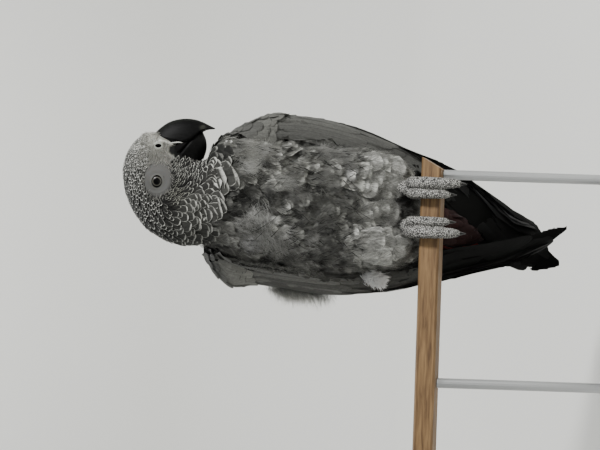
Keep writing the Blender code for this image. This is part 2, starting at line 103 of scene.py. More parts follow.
# Metres.
SWEEP_FRONT, SWEEP_BACK, SWEEP_RADIUS, SWEEP_HEIGHT, SWEEP_HALF = -3.2, 2.6, 0.6, 3.6, 3.6
SWEEP_STEPS = 16
paper, _ = material("studio_paper_matt", "e6e6e1", Roughness=0.95)
line = [(SWEEP_FRONT, 0.0)]
for i in range(SWEEP_STEPS + 1):
    a = math.radians(90 * i / SWEEP_STEPS)
    line.append((SWEEP_BACK - SWEEP_RADIUS + SWEEP_RADIUS * math.sin(a),
                 SWEEP_RADIUS - SWEEP_RADIUS * math.cos(a)))
line.append((SWEEP_BACK, SWEEP_HEIGHT))
sweep = mesh_object("studio_sweep",
                    [(x, y, z) for y, z in line for x in (-SWEEP_HALF, SWEEP_HALF)],
                    [(2 * i, 2 * i + 1, 2 * i + 3, 2 * i + 2) for i in range(len(line) - 1)], paper)

sky = bpy.data.worlds.new("studio_sky")
sky.use_nodes = True
backdrop = sky.node_tree.nodes["Background"]
backdrop.inputs["Color"].default_value = (*rgb("f2f4f5"), 1)
backdrop.inputs["Strength"].default_value = 0.36
bpy.context.scene.world = sky
# Name, place and aim in metres, size in metres, power in watts.
LAMPS = (("key_softbox", (0.84, -0.76, 0.9), (0.02, 0.0, 0.24), 0.2, 23.0),
         ("wall_softbox", (0.0, 1.1, 2.6), (0.0, 2.5, 0.5), 1.4, 66.0))
for name, place, aim, size, watts in LAMPS:
    lamp = bpy.data.lights.new(name, "AREA")
    lamp.energy = watts
    lamp.size = size
    holder = bpy.data.objects.new(name, lamp)
    holder.location = place
    holder.rotation_euler = (Vector(aim) - Vector(place)).to_track_quat("-Z", "Y").to_euler()
    bpy.context.scene.collection.objects.link(holder)

# Camera: a long lens turned on its side, so that the upright bird lies along the frame, and level with
# its breast, with the slight lean that the bar shows.
CAMERA_PLACE, CAMERA_LENS, CAMERA_LEAN = (0.014, -0.75, 0.229), 75.0, math.radians(1.9)
camera = bpy.data.cameras.new("camera")
camera.lens = CAMERA_LENS
camera.sensor_width = 36.0
viewer = bpy.data.objects.new("camera", camera)
lean_s, lean_c = math.sin(CAMERA_LEAN), math.cos(CAMERA_LEAN)
viewer.matrix_world = (Matrix.Translation(CAMERA_PLACE)
                       @ Matrix(((lean_s, lean_c, 0, 0), (0, 0, -1, 0), (-lean_c, lean_s, 0, 0),
                                 (0, 0, 0, 1))))
bpy.context.scene.collection.objects.link(viewer)
bpy.context.scene.camera = viewer

# Skin: one thin hide over head, neck, trunk and thighs, lying inside the plumage by the depth of its
# feathers. It is bare only round the eyes and on the lores, where it is pale, dry and finely creased.
# All lengths from here on are millimetres, and MM turns them into the scene's metres.
MM = 0.001
HEAD_Y, EYE_X, EYE_Z = -15.0, 36.3, 311.9
FLESH = ("head", "cere", "neck", "breast", "belly", "thigh_left", "thigh_right")
SKIN_VOXEL, SKIN_SWELL = 1.25, 0.45

# The feather tracts: place, way the feathers lie, length, width, spacing, depth of the coat, looseness,
# colour of the vane and of its edge, and the edge's width. Values between them are blended.
TRACTS = (
    ((63, -15, 321), (-0.75, 0, 0.65), 2.6, 1.4, 0.9, 0.6, 0.0, "62625e", "c6c6c0", 0.5),
    ((60, -24, 320), (-0.75, -0.2, 0.6), 2.6, 1.4, 0.9, 0.6, 0.0, "62625e", "c6c6c0", 0.5),
    ((50, -27, 322), (-0.9, -0.1, 0.35), 2.6, 1.3, 0.95, 0.6, 0.25, "383835", "b8b8b2", 0.4),
    ((45, -15, 334), (-1, 0, 0.1), 3.6, 1.8, 1.35, 0.8, 0.45, "242422", "ccccc6", 0.48),
    ((38, -29, 325), (-1, -0.1, 0.05), 3.6, 1.8, 1.35, 0.8, 0.45, "20201e", "c4c4be", 0.48),
    ((22, -33, 314), (-0.95, 0, -0.3), 4.0, 2.2, 1.55, 1.0, 0.45, "1e1e1c", "b6b6b0", 0.5),
    ((26, -15, 333), (-1, 0, -0.25), 4.4, 2.4, 1.6, 1.1, 0.45, "20201e", "bcbcb6", 0.5),
    ((12, -15, 324), (-0.7, 0, -0.7), 5.5, 3.4, 1.6, 1.4, 0.3, "262624", "acaca6", 0.6),
    ((12, -29, 312), (-0.75, 0, -0.66), 5.5, 3.4, 1.6, 1.4, 0.3, "242422", "acaca6", 0.6),
    ((1, -15, 303), (-0.1, 0, -1), 8.5, 7.0, 1.15, 2.2, 0.05, "3a3a37", "a8a8a2", 0.75),
    ((8, -31, 298), (-0.25, 0, -0.97), 8.0, 6.4, 1.1, 2.2, 0.05, "3a3a37", "aaaaa4", 0.75),
    ((41, -34, 302), (0.8, 0, -0.6), 4.6, 1.3, 1.3, 0.9, 0.1, "1c1b1a", "a6a6a0", 0.34),
    ((28, -35, 304), (0.5, 0, -0.87), 4.4, 1.4, 1.3, 0.9, 0.1, "1c1b1a", "929288", 0.34),
    ((36, -35, 294), (0.88, 0, -0.48), 7.5, 1.6, 1.4, 1.5, 0.1, "121110", "b4b4ae", 0.34),
    ((46, -33, 292), (0.92, 0, -0.4), 7.5, 1.8, 1.4, 2.2, 0.1, "121110", "c0c0ba", 0.36),
    ((20, -36, 293), (0.4, 0, -0.92), 7.5, 5.2, 1.05, 2.2, 0.05, "383835", "b0b0aa", 0.75),
    ((12, -35, 291), (0.1, 0, -1), 8.5, 7.5, 0.95, 2.6, 0.0, "383835", "acaca6", 0.85),
    ((30, -38, 286), (0.6, 0, -0.8), 8.0, 5.2, 0.95, 2.6, 0.0, "2c2b29", "b0b0aa", 0.6),
    ((43, -36, 286), (0.75, 0, -0.66), 8.0, 4.2, 0.95, 2.8, 0.0, "262523", "b8b8b2", 0.55),
    ((8, -35, 287), (0.05, 0, -1), 9.5, 10.0, 0.92, 3.2, 0.0, "464643", "b4b4ae", 1.05),
    ((30, -38, 280), (0.35, 0, -0.94), 10.0, 11.0, 0.85, 3.8, 0.0, "3e3e3b", "a8a8a2", 1.1),
    ((47, -34, 280), (0.5, 0, -0.87), 8.6, 7.6, 0.85, 3.6, 0.0, "3c3c39", "a4a49e", 1.0),
    ((38, -36, 276.5), (0.2, 0, -0.98), 10.8, 13.5, 1.1, 4.2, 0.0, "3e3e3b", "a2a29c", 1.1),
    ((18, -37, 283), (0.2, 0, -0.98), 11.5, 12.0, 0.95, 4.2, 0.0, "464643", "b4b4ae", 1.1),
    ((61, -20, 283), (0.1, 0, -1), 7.0, 5.5, 1.4, 2.4, 0.0, "4a4a46", "dcdcd6", 1.0),
    ((62, -15, 279), (0.05, 0, -1), 7.5, 6.5, 1.6, 2.8, 0.0, "4a4a46", "d0d0ca", 1.0),
    ((0, 2, 292), (-0.05, 0, -1), 11.0, 11.5, 2.0, 2.4, 0.0, "2e2e2c", "82827c", 0.8),
    ((25, 20, 278), (0, 0.1, -1), 13.0, 13.0, 3.0, 2.6, 0.0, "2e2e2c", "82827c", 0.8),
    ((2, -32, 265), (0.2, 0, -1), 13.0, 9.0, 4.4, 3.0, 0.5, "74746f", "868681", 2.5),
    ((27, -36, 264), (0.1, 0, -1), 11.0, 8.0, 4.2, 2.8, 0.7, "30302e", "464643", 2.0),
    ((25, -36, 254), (0.1, 0, -1), 12.0, 8.0, 4.4, 3.0, 0.7, "4c4c49", "62625e", 2.0),
    ((46, -34, 266), (0.1, 0, -1), 11.0, 8.0, 4.2, 2.8, 0.7, "5c5c58", "80807b", 2.0),
    ((58, -30, 263), (0.1, 0, -1), 11.0, 8.0, 4.2, 2.8, 0.7, "80807b", "a8a8a2", 2.0),
    ((8, -36, 245), (0.5, 0, -0.85), 13.0, 9.0, 4.6, 3.2, 0.9, "93938f", "adada8", 3.4),
    ((32, -36, 243), (0.1, 0, -1), 13.0, 8.5, 4.6, 3.4, 0.8, "595956", "797974", 2.4),
    ((58, -28, 250), (0, 0, -1), 13.0, 9.0, 4.6, 3.4, 0.9, "868681", "a8a8a1", 3.4),
    ((50, -32, 235), (0, 0, -1), 14.0, 9.0, 4.8, 3.4, 0.8, "676762", "8e8e87", 2.6),
    ((10, -36, 225), (0.1, 0, -1), 14.0, 9.0, 4.8, 3.4, 0.9, "464643", "60605c", 2.4),
    ((28, -36, 222), (0.0, 0, -1), 15.0, 12.0, 5.0, 3.4, 0.5, "4d4d49", "5f5f5b", 2.2),
    ((50, -32, 215), (-0.1, 0, -1), 15.0, 12.0, 5.0, 3.6, 0.8, "5b5b57", "7d7d78", 3.0),
    ((8, -30, 205), (0, 0, -1), 14.0, 9.0, 4.8, 3.6, 1.0, "444442", "62625f", 2.2),
    ((28, -30, 195), (0, 0, -1), 15.0, 11.5, 5.2, 3.6, 0.7, "4e4e49", "6d6d67", 3.4),
    ((50, -22, 193), (0, 0, -1), 16.0, 15.0, 5.4, 3.6, 0.5, "787874", "a2a29c", 4.0),
    ((3, -18, 186), (0, 0, -1), 16.0, 13.5, 5.6, 3.6, 0.6, "8c8c87", "b4b4ae", 4.5),
    ((2, -12, 170), (0.15, 0, -1), 15.0, 14.0, 5.6, 3.4, 0.5, "9a9a95", "babab5", 4.0),
    ((52, -10, 172), (0, 0, -1), 15.0, 15.0, 5.6, 3.4, 0.4, "8c8c87", "aeaea8", 4.0),
    ((27, -8, 178), (0, 0, -1), 15.0, 11.0, 5.4, 3.4, 0.6, "666663", "8c8c87", 4.0),
    ((27, -8, 163), (0, 0, -1), 14.0, 10.0, 5.2, 3.2, 0.5, "484846", "575753", 2.4),
    ((0, 25, 150), (0, 0.5, -1), 15.0, 12.0, 6.4, 3.2, 0.6, "72726e", "84847f", 3.0),
    ((50, 25, 150), (0, 0.5, -1), 15.0, 12.0, 6.4, 3.2, 0.6, "72726e", "84847f", 3.0),
    ((-14, 10, 230), (0, 0.1, -1), 14.0, 10.0, 6.0, 3.0, 0.9, "797976", "8b8b87", 3.0),
    ((64, 10, 230), (0, 0.1, -1), 14.0, 10.0, 6.0, 3.0, 0.9, "797976", "8b8b87", 3.0),
    ((25, 48, 240), (0, 0.1, -1), 17.0, 15.0, 6.6, 3.0, 0.1, "4c4c49", "5c5c59", 0.8),
    ((25, 55, 180), (0, 0.3, -1), 17.0, 15.0, 7.0, 3.0, 0.2, "8f8f8a", "9e9e97", 0.8),
)
# What blend_tracts gives for a point, by column.
LENGTH, WIDTH, SPACING, DEPTH, LOOSE, RIM = range(3, 9)
WAY, VANE, EDGE = slice(0, 3), slice(9, 12), slice(12, 15)
# The head's tracts are mirrored to its far side, from this height up.
MIRROR_ABOVE = 289.0
# The stiff collar ends along this line (x and z), above the soft breast.
COLLAR_LINE = ((-12, 292), (0, 288.5), (10, 284), (22, 280), (34, 276), (42, 274.5), (50, 274.5),
               (56, 277), (64, 277))
COLLAR_BEHIND = 272


def collar_height(points):
    """How far each point is above the collar's lower edge."""
    x, z = np.array(COLLAR_LINE, float).T
    line = np.interp(points[:, 0], x, z)
    behind = np.clip((points[:, 1] + 5) / 20, 0, 1)
    return points[:, 2] - (line * (1 - behind) + COLLAR_BEHIND * behind)


def blend_tracts(points):
    """The tracts' values at each point, by closeness. Those past the collar's edge hardly count."""
    rows = []
    for place, way, *numbers, vane, edge, rim in TRACTS:
        values = [*numbers, rim, *rgb(vane), *rgb(edge)]
        rows.append((*place, *way, *values))
        if place[2] > MIRROR_ABOVE and place[1] != HEAD_Y:
            x, y, z = place
            rows.append((x, 2 * HEAD_Y - y, z, way[0], -way[1], way[2], *values))
    rows = np.array(rows, float)
    near = ((points[:, None, :] - rows[None, :, :3]) ** 2).sum(2) + 4.0
    weight = near ** -2.2
    apart = (collar_height(points)[:, None] > 0) != (collar_height(rows[:, :3])[None, :] > 0)
    weight = np.where(apart, weight * 1e-3, weight)
    weight /= weight.sum(1, keepdims=True)
    return weight @ rows[:, 3:]


# The pale patch is an oval with a slightly ragged edge, and the lores a blunt box before it: centre in
# x and z, and half of each size. Forward of BILL_X the bare skin runs over the top as well.
PATCH_AT, PATCH_HALF = (38.2, 311.6), (11.2, 8.3)
LORES_AT, LORES_HALF = (57.0, 309.5), (10.5, 7.5)
BILL_X = 57.5


def bare(points):
    """How bare the face is at each point: 1 in the pale patch, 0 under feathers."""
    x, y, z = points.T
    aside = np.clip((np.abs(y - HEAD_Y) - 7.0) / 3.0, 0, 1)
    oval = np.sqrt(((x - PATCH_AT[0]) / PATCH_HALF[0]) ** 2 + ((z - PATCH_AT[1]) / PATCH_HALF[1]) ** 2)
    patch = 1.0 - oval + 0.05 * np.sin(1.7 * x) * np.sin(1.9 * z)
    lores = 1.0 - np.maximum(np.abs(x - LORES_AT[0]) / LORES_HALF[0], np.abs(z - LORES_AT[1]) / LORES_HALF[1])
    aside = np.maximum(aside, x > BILL_X)
    return np.clip(np.maximum(patch, lores) * 6.0 + 0.5, 0, 1) * aside


def gathered(names, swell):
    """Vertices and faces of several CAD solids, welded and swollen so that they overlap."""
    bm = bmesh.new()
    for name in names:
        part = bmesh.new()
        part.from_mesh(nodes[name].data)
        bmesh.ops.remove_doubles(part, verts=part.verts, dist=1e-6)
        bmesh.ops.recalc_face_normals(part, faces=part.faces)
        part.normal_update()
        for v in part.verts:
            v.co += v.normal * swell * MM
        mesh = bpy.data.meshes.new("part")
        part.to_mesh(mesh)
        bm.from_mesh(mesh)
        bpy.data.meshes.remove(mesh)
        part.free()
    return bm


def remeshed(name, names, swell, voxel, smooth):
    """One closed surface over the named solids, as an object."""
    bm = gathered(names, swell)
    mesh = bpy.data.meshes.new(name)
    bm.to_mesh(mesh)
    bm.free()
    obj = bpy.data.objects.new(name, mesh)
    bpy.context.scene.collection.objects.link(obj)
    mod = obj.modifiers.new("remesh", "REMESH")
    mod.mode = "VOXEL"
    mod.voxel_size = voxel * MM
    mod = obj.modifiers.new("smooth", "SMOOTH")
    mod.factor = 0.5
    mod.iterations = smooth
    graph = bpy.context.evaluated_depsgraph_get()
    done = bpy.data.meshes.new_from_object(obj.evaluated_get(graph))
    obj.modifiers.clear()
    obj.data = done
    done.name = name
    bpy.data.meshes.remove(mesh)
    done.materials.clear()
    done.shade_smooth()
    return obj


def coords(mesh):
    """A mesh's vertices as an array, in metres."""
    out = np.empty(len(mesh.vertices) * 3)
    mesh.vertices.foreach_get("co", out)
    return out.reshape(-1, 3)


def normals(mesh):
    """A mesh's vertex normals as an array."""
    out = np.empty(len(mesh.vertices) * 3)
    mesh.vertex_normals.foreach_get("vector", out)
    return out.reshape(-1, 3)


def put_coords(mesh, points):
    """Moves a mesh's vertices to these points, given in millimetres."""
    mesh.vertices.foreach_set("co", (points * MM).ravel())
    mesh.update()


def paint(mesh, colours):
    """A colour for each vertex, or one for all, as the layer that the materials read."""
    full = np.ones((len(mesh.vertices), 4), np.float32)
    full[:, :3] = colours
    layer = mesh.color_attributes.new("markings", "FLOAT_COLOR", "POINT")
    layer.data.foreach_set("color", full.ravel())


BARE_SINK = 0.5
skin = remeshed("skin", FLESH, SKIN_SWELL, SKIN_VOXEL, 5)
skin_mesh = skin.data
at = coords(skin_mesh) / MM
fields = blend_tracts(at)
nude = bare(at)
sink = fields[:, DEPTH] * (1 - nude) + BARE_SINK * nude + SKIN_SWELL
put_coords(skin_mesh, at - normals(skin_mesh) * sink[:, None])
FACE_PALE, LORES_PALE, GAPE_AND_SHADOW_DARK = hue("52514f"), hue("74736c"), hue("080807")
ROOT_PALE, BROW_PALE = hue("aeada6"), hue("c8c8c2")
# The dark soft corner of the mouth, a capsule in x and z. As painted shadow it runs on under the cheek to the
# throat.
GAPE_FROM, GAPE_TO, GAPE_WIDE = np.array((55.6, 303.4)), np.array((57.4, 299.6)), 3.0
# The pale ridge of skin along the bill's root, as z and x, and the pale swelling over the nostril.
ROOT_LINE = np.array(((299.0, 59.6), (303.5, 59.4), (308.0, 60.0), (312.0, 61.2)))
BROW_AT = (61.5, 316.5)


def blended(shade, other, share):
    """One colour laid over another by a share for each point."""
    share = np.clip(share, 0, 1)[:, None]
    return shade * (1 - share) + other * share


flat_at = at[:, [0, 2]]
x, _, z = at.T
gape = GAPE_TO - GAPE_FROM
run = np.clip(((flat_at - GAPE_FROM) @ gape) / (gape ** 2).sum(), 0, 1)
off_gape = np.linalg.norm(flat_at - GAPE_FROM - run[:, None] * gape, axis=1)
shade = blended(fields[:, VANE] * 0.5, FACE_PALE, nude)
shade = blended(shade, LORES_PALE, nude * (x - 46) / 6)
off_root = np.abs(x - np.interp(z, *ROOT_LINE.T))
shade = blended(shade, ROOT_PALE, (1.5 - off_root / 0.6) * (z < 312) * (z > 297))
brow = np.exp(-((x - BROW_AT[0]) / 4.0) ** 2 - ((z - BROW_AT[1]) / 3.2) ** 2)
shade = blended(shade, BROW_PALE, 1.3 * brow)
shade = blended(shade, GAPE_AND_SHADOW_DARK, (GAPE_WIDE - off_gape) / 0.7 + 0.5)
# Painted shadow: the bill's shadow, dark on the skin from the mouth's corner down the throat.
shade = blended(shade, GAPE_AND_SHADOW_DARK, ((x - 45.5) / 1.5) * (z < 303.2) * (z > 262) * (x < 57))
paint(skin_mesh, shade)
hide, shader = material("bare_skin_dry", Roughness=0.7, Specular_IOR_Level=0.2, Subsurface_Weight=0.05)
markings = node(hide, "VertexColor", layer_name="markings")
place = node(hide, "TexCoord")
creases = node(hide, "TexVoronoi", {"Vector": place.outputs["Object"], "Scale": 1400.0},
               feature="DISTANCE_TO_EDGE")
bump = node(hide, "Bump", {"Height": creases.outputs["Distance"], "Strength": 0.25, "Distance": 0.0002})
wired(hide, shader, Base_Color=markings.outputs["Color"], Normal=bump.outputs["Normal"])
skin_mesh.materials.append(hide)
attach(skin, "root")
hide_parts(*FLESH)

# Coat: small stiff feathers like scales on head and neck, broad loose ones on the body, each a thin
# curved vane that overlaps the next, edged paler, and frayed into barbs where the bird has plucked.
# Outlines of the vanes: shares of the length, and of the full width there.
SHAPES = {
    "scale": ((0.0, 0.45), (0.42, 0.95), (0.8, 0.86), (1.0, 0.34)),
    "streak": ((0.0, 0.4), (0.4, 0.95), (0.78, 0.8), (1.0, 0.2)),
    "broad": ((0.0, 0.3), (0.35, 0.85), (0.65, 1.0), (0.86, 0.82), (0.96, 0.5), (1.0, 0.22)),
    "crescent": ((0.0, 0.45), (0.4, 0.88), (0.68, 1.0), (0.86, 0.88), (0.96, 0.6), (1.0, 0.3)),
    "fan": ((0.0, 0.5), (0.33, 0.78), (0.62, 0.93), (0.84, 1.0), (0.95, 0.82), (1.0, 0.5)),
    "flight": ((0.0, 0.5), (0.12, 0.85), (0.3, 1.0), (0.5, 1.0), (0.7, 0.97), (0.84, 0.88), (0.93, 0.68),
               (0.98, 0.42), (1.0, 0.18)),
}
# The most triangles that go into one piece, and each feather's share of the flat map for baking.
PIECE_TRIANGLES, BAKE_PATCH = 180000, 0.003
# The points from which the hide and the wings are opened out flat.
BODY_MIDDLE, WINGS_MIDDLE = (25.0, 0.0, 240.0), (25.0, 20.0, 200.0)


def unit(v):
    """Vectors of length one."""
    return v / np.maximum(np.linalg.norm(v, axis=-1, keepdims=True), 1e-9)


def bake_uv(roots, centre):
    """Where each root lies on the hide when it is opened out flat from the point above its centre."""
    way = unit(roots - np.array(centre))
    polar = np.arccos(np.clip(way[:, 2], -1, 1)) / math.pi
    turn = np.arctan2(way[:, 1], way[:, 0])
    return 0.5 + 0.49 * polar[:, None] * np.stack([np.cos(turn), np.sin(turn)], 1)


def laid(way, up, rise=0.0):
    """Ways turned flat onto surfaces with these normals, or a little up from them."""
    return unit(way - up * (way * up).sum(-1, keepdims=True) + up * rise)


def raw_mesh(name, verts, loops, sizes, point_sets, corner_sets, mat, sharp_mark=None):
    """A mesh from flat arrays, with its point attributes and UV maps."""
    mesh = bpy.data.meshes.new(name)
    mesh.vertices.add(len(verts))
    mesh.vertices.foreach_set("co", verts.astype(np.float32).ravel())
    mesh.loops.add(len(loops))
    mesh.loops.foreach_set("vertex_index", loops.astype(np.int32))
    mesh.polygons.add(len(sizes))
    starts = np.concatenate([[0], np.cumsum(sizes)[:-1]])
    mesh.polygons.foreach_set("loop_start", starts.astype(np.int32))
    mesh.update(calc_edges=True)
    mesh.shade_smooth()
    for key, values in point_sets.items():
        layer = mesh.color_attributes.new(key, "FLOAT_COLOR", "POINT")
        layer.data.foreach_set("color", values.astype(np.float32).ravel())
    for key, values in corner_sets.items():
        layer = mesh.uv_layers.new(name=key)
        layer.data.foreach_set("uv", values[loops].astype(np.float32).ravel())
    if sharp_mark is not None:
        ends = np.empty(len(mesh.edges) * 2, np.int32)
        mesh.edges.foreach_get("vertices", ends)
        ends = ends.reshape(-1, 2)
        layer = mesh.attributes.new("sharp_edge", "BOOLEAN", "EDGE")
        layer.data.foreach_set("value", sharp_mark[ends[:, 0]] & sharp_mark[ends[:, 1]])
    mesh.materials.append(mat)
    obj = bpy.data.objects.new(name, mesh)
    bpy.context.scene.collection.objects.link(obj)
    return obj


def vane_grid(rows, cols):
    """Faces of one closed vane: a top and an underside that share their outline."""
    wide = cols + 1
    top = np.arange((rows + 1) * wide).reshape(rows + 1, wide)
    under = top.copy()
    inner = (rows - 1) * (cols - 1)
    under[1:-1, 1:-1] = top.size + np.arange(inner).reshape(rows - 1, cols - 1)
    faces = []
    for i in range(rows):
        for j in range(cols):
            faces.append((top[i, j], top[i, j + 1], top[i + 1, j + 1], top[i + 1, j]))
            faces.append((under[i, j], under[i + 1, j], under[i + 1, j + 1], under[i, j + 1]))
    edge = np.zeros(top.size + inner, bool)
    edge[top[[0, -1]].ravel()] = True
    edge[top[:, [0, -1]].ravel()] = True
    return np.array(faces), edge


def spread(spine, normal, along, width, shape, cols, camber, thick, wobble):
    """Vane vertices (mm), with where each lies across and along its feather."""
    n, rows = len(spine), len(SHAPES[shape]) - 1
    stations = np.array(SHAPES[shape])
    across = np.linspace(-1, 1, cols + 1)
    side = unit(np.cross(along, normal))
    half = 0.5 * width[:, None] * stations[None, :, 1]
    half = half * (1 + wobble * rng.standard_normal(half.shape))
    reach = half[:, :, None] * across[None, None, :]
    lean = 1 + wobble * rng.standard_normal((n, rows + 1, 2))
    reach = reach * np.where(across[None, None, :] < 0, lean[:, :, :1], lean[:, :, 1:])
    drop = camber * np.abs(reach) * np.abs(across)[None, None, :]
    top = (spine[:, :, None, :] + side[:, :, None, :] * reach[..., None]
           - normal[:, :, None, :] * drop[..., None])
    u = np.broadcast_to(across[None, None, :], reach.shape)
    v = np.broadcast_to(stations[None, :, 0, None], reach.shape)
    lower = top[:, 1:-1, 1:-1] - normal[:, 1:-1, None, :] * thick
    verts = np.concatenate([top.reshape(n, -1, 3), lower.reshape(n, -1, 3)], 1)
    us = np.concatenate([u.reshape(n, -1), u[:, 1:-1, 1:-1].reshape(n, -1)], 1)
    vs = np.concatenate([v.reshape(n, -1), v[:, 1:-1, 1:-1].reshape(n, -1)], 1)
    return verts, us, vs


def batches(name, count, triangles):
    """Names and slices that split a count of like things into pieces within the limit of triangles."""
    most = PIECE_TRIANGLES // triangles
    for k in range(0, count, most):
        yield name if count <= most else f"{name}_{k // most + 1}", slice(k, min(k + most, count))


def uneven(count, spread, low=0.6, high=1.5):
    """A brightness for each of several feathers, varied by chance about one."""
    return np.clip(1 + spread * rng.standard_normal(count), low, high)[:, None]


def lay_vanes(name, spine, normal, along, width, length, shape, cols, tint, edge_tint, rim, uv, mat,
              camber=0.25, thick=0.15, wobble=0.05, side_rim=1.0):
    """Builds feathers as one or more joined meshes and gives them to the frame. The materials read each
    feather's two colours and its sizes from its points."""
    verts, us, vs = spread(spine, normal, along, width, shape, cols, camber, thick, wobble)
    faces, edge = vane_grid(len(SHAPES[shape]) - 1, cols)
    n, per = verts.shape[:2]
    for piece, pick in batches(name, n, 2 * len(faces)):
        m = pick.stop - pick.start
        loops = (faces[None] + np.arange(m)[:, None, None] * per).ravel()
        ones = np.ones((m, per, 1))
        colour = np.concatenate([np.repeat(tint[pick, None], per, 1), ones], 2).reshape(-1, 4)
        edging = np.concatenate([np.repeat(edge_tint[pick, None], per, 1), ones], 2).reshape(-1, 4)
        sizes = np.stack([width[pick] / 2, length[pick], rim[pick], np.full(m, side_rim)], 1)
        sizes = np.repeat(sizes[:, None], per, 1).reshape(-1, 4)
        local = np.stack([us[pick] * 0.5 + 0.5, vs[pick]], 2).reshape(-1, 2)
        bake = (uv[pick, None] + BAKE_PATCH * (local.reshape(m, per, 2) - 0.5)).reshape(-1, 2)
        obj = raw_mesh(piece, verts[pick].reshape(-1, 3) * MM, loops, np.full(m * len(faces), 4),
                       {"tint": colour, "edging": edging, "sizes": sizes},
                       {"OFBake": bake, "Vane": local}, mat, np.tile(edge, m))
        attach(obj, "root")


def swung(way, up, turn):
    """Ways turned about these normals by angles."""
    return way * np.cos(turn)[:, None] + np.cross(up, way) * np.sin(turn)[:, None]


def tree_of(obj):
    """A tree of an object's surface, in millimetres."""
    return BVHTree.FromPolygons([tuple(v) for v in coords(obj.data) / MM],
                                [tuple(p.vertices) for p in obj.data.polygons])


def march(tree, root, way, lengths, stations, low, high, power=0.8):
    """Spines that follow the surface from each root, rising from low to high above it."""
    n, k = len(root), len(stations)
    spine, norm, along = np.empty((n, k, 3)), np.empty((n, k, 3)), np.empty((n, k, 3))
    for i in range(n):
        p, t = Vector(root[i]), Vector(way[i])
        for j, (s, _) in enumerate(stations):
            if j:
                p = p + t * (lengths[i] * (s - stations[j - 1][0]))
            hit, up, _, _ = tree.find_nearest(p)
            t = t - up * t.dot(up)
            t.normalize()
            p = hit
            spine[i, j], norm[i, j], along[i, j] = hit, up, t
    soft = norm.copy()
    soft[:, 1:] += norm[:, :-1]
    soft[:, :-1] += norm[:, 1:]
    norm = unit(soft)
    share = np.array([s for s, _ in stations])[None, :, None] ** power
    height = low[:, None, None] + (high - low)[:, None, None] * share
    spine = spine + norm * height
    along = np.gradient(spine, axis=1)
    along = unit(along)
    return spine, laid(norm, along), along


def tree_of_points(points):
    """A tree of points that gives the place of each in the list."""
    tree = KDTree(len(points))
    for i, point in enumerate(points):
        tree.insert(point, i)
    tree.balance()
    return tree


def scatter(mesh, allow):
    """Roots spread over the skin at the tracts' spacing, kept where allow says."""
    points = coords(mesh) / MM
    tris = np.array([t.vertices for t in (mesh.calc_loop_triangles() or mesh.loop_triangles)])
    a, b, c = points[tris[:, 0]], points[tris[:, 1]], points[tris[:, 2]]
    area = np.linalg.norm(np.cross(b - a, c - a), axis=1) / 2
    middle = (a + b + c) / 3
    spacing = blend_tracts(middle)
    wide, gap = 0.8 * spacing[:, WIDTH], 1.15 * spacing[:, SPACING]
    wanted = area / (gap * wide) * 9.0 * allow(middle)
    count = rng.poisson(wanted)
    pick = np.repeat(np.arange(len(tris)), count)
    r1, r2 = np.sqrt(rng.random(len(pick))), rng.random(len(pick))
    w = np.stack([1 - r1, r1 * (1 - r2), r1 * r2], 1)
    found = a[pick] * w[:, :1] + b[pick] * w[:, 1:2] + c[pick] * w[:, 2:]
    normal = unit(np.cross(b - a, c - a))[pick]
    order = rng.permutation(len(found))
    found, normal, gap, wide = found[order], normal[order], gap[pick][order], wide[pick][order]
    way = unit(blend_tracts(found)[:, WAY])
    tree = tree_of_points(found)
    free = np.ones(len(found), bool)
    kept = []
    for i, p in enumerate(found):
        if not free[i]:
            continue
        kept.append(i)
        for _, j, _ in tree.find_range(p, max(gap[i], wide[i])):
            off = found[j] - p
            down = off.dot(way[i])
            aside = off.dot(off) - down * down
            if (down / gap[i]) ** 2 + aside / wide[i] ** 2 < 0.95:
                free[j] = False
    return found[kept], normal[kept]


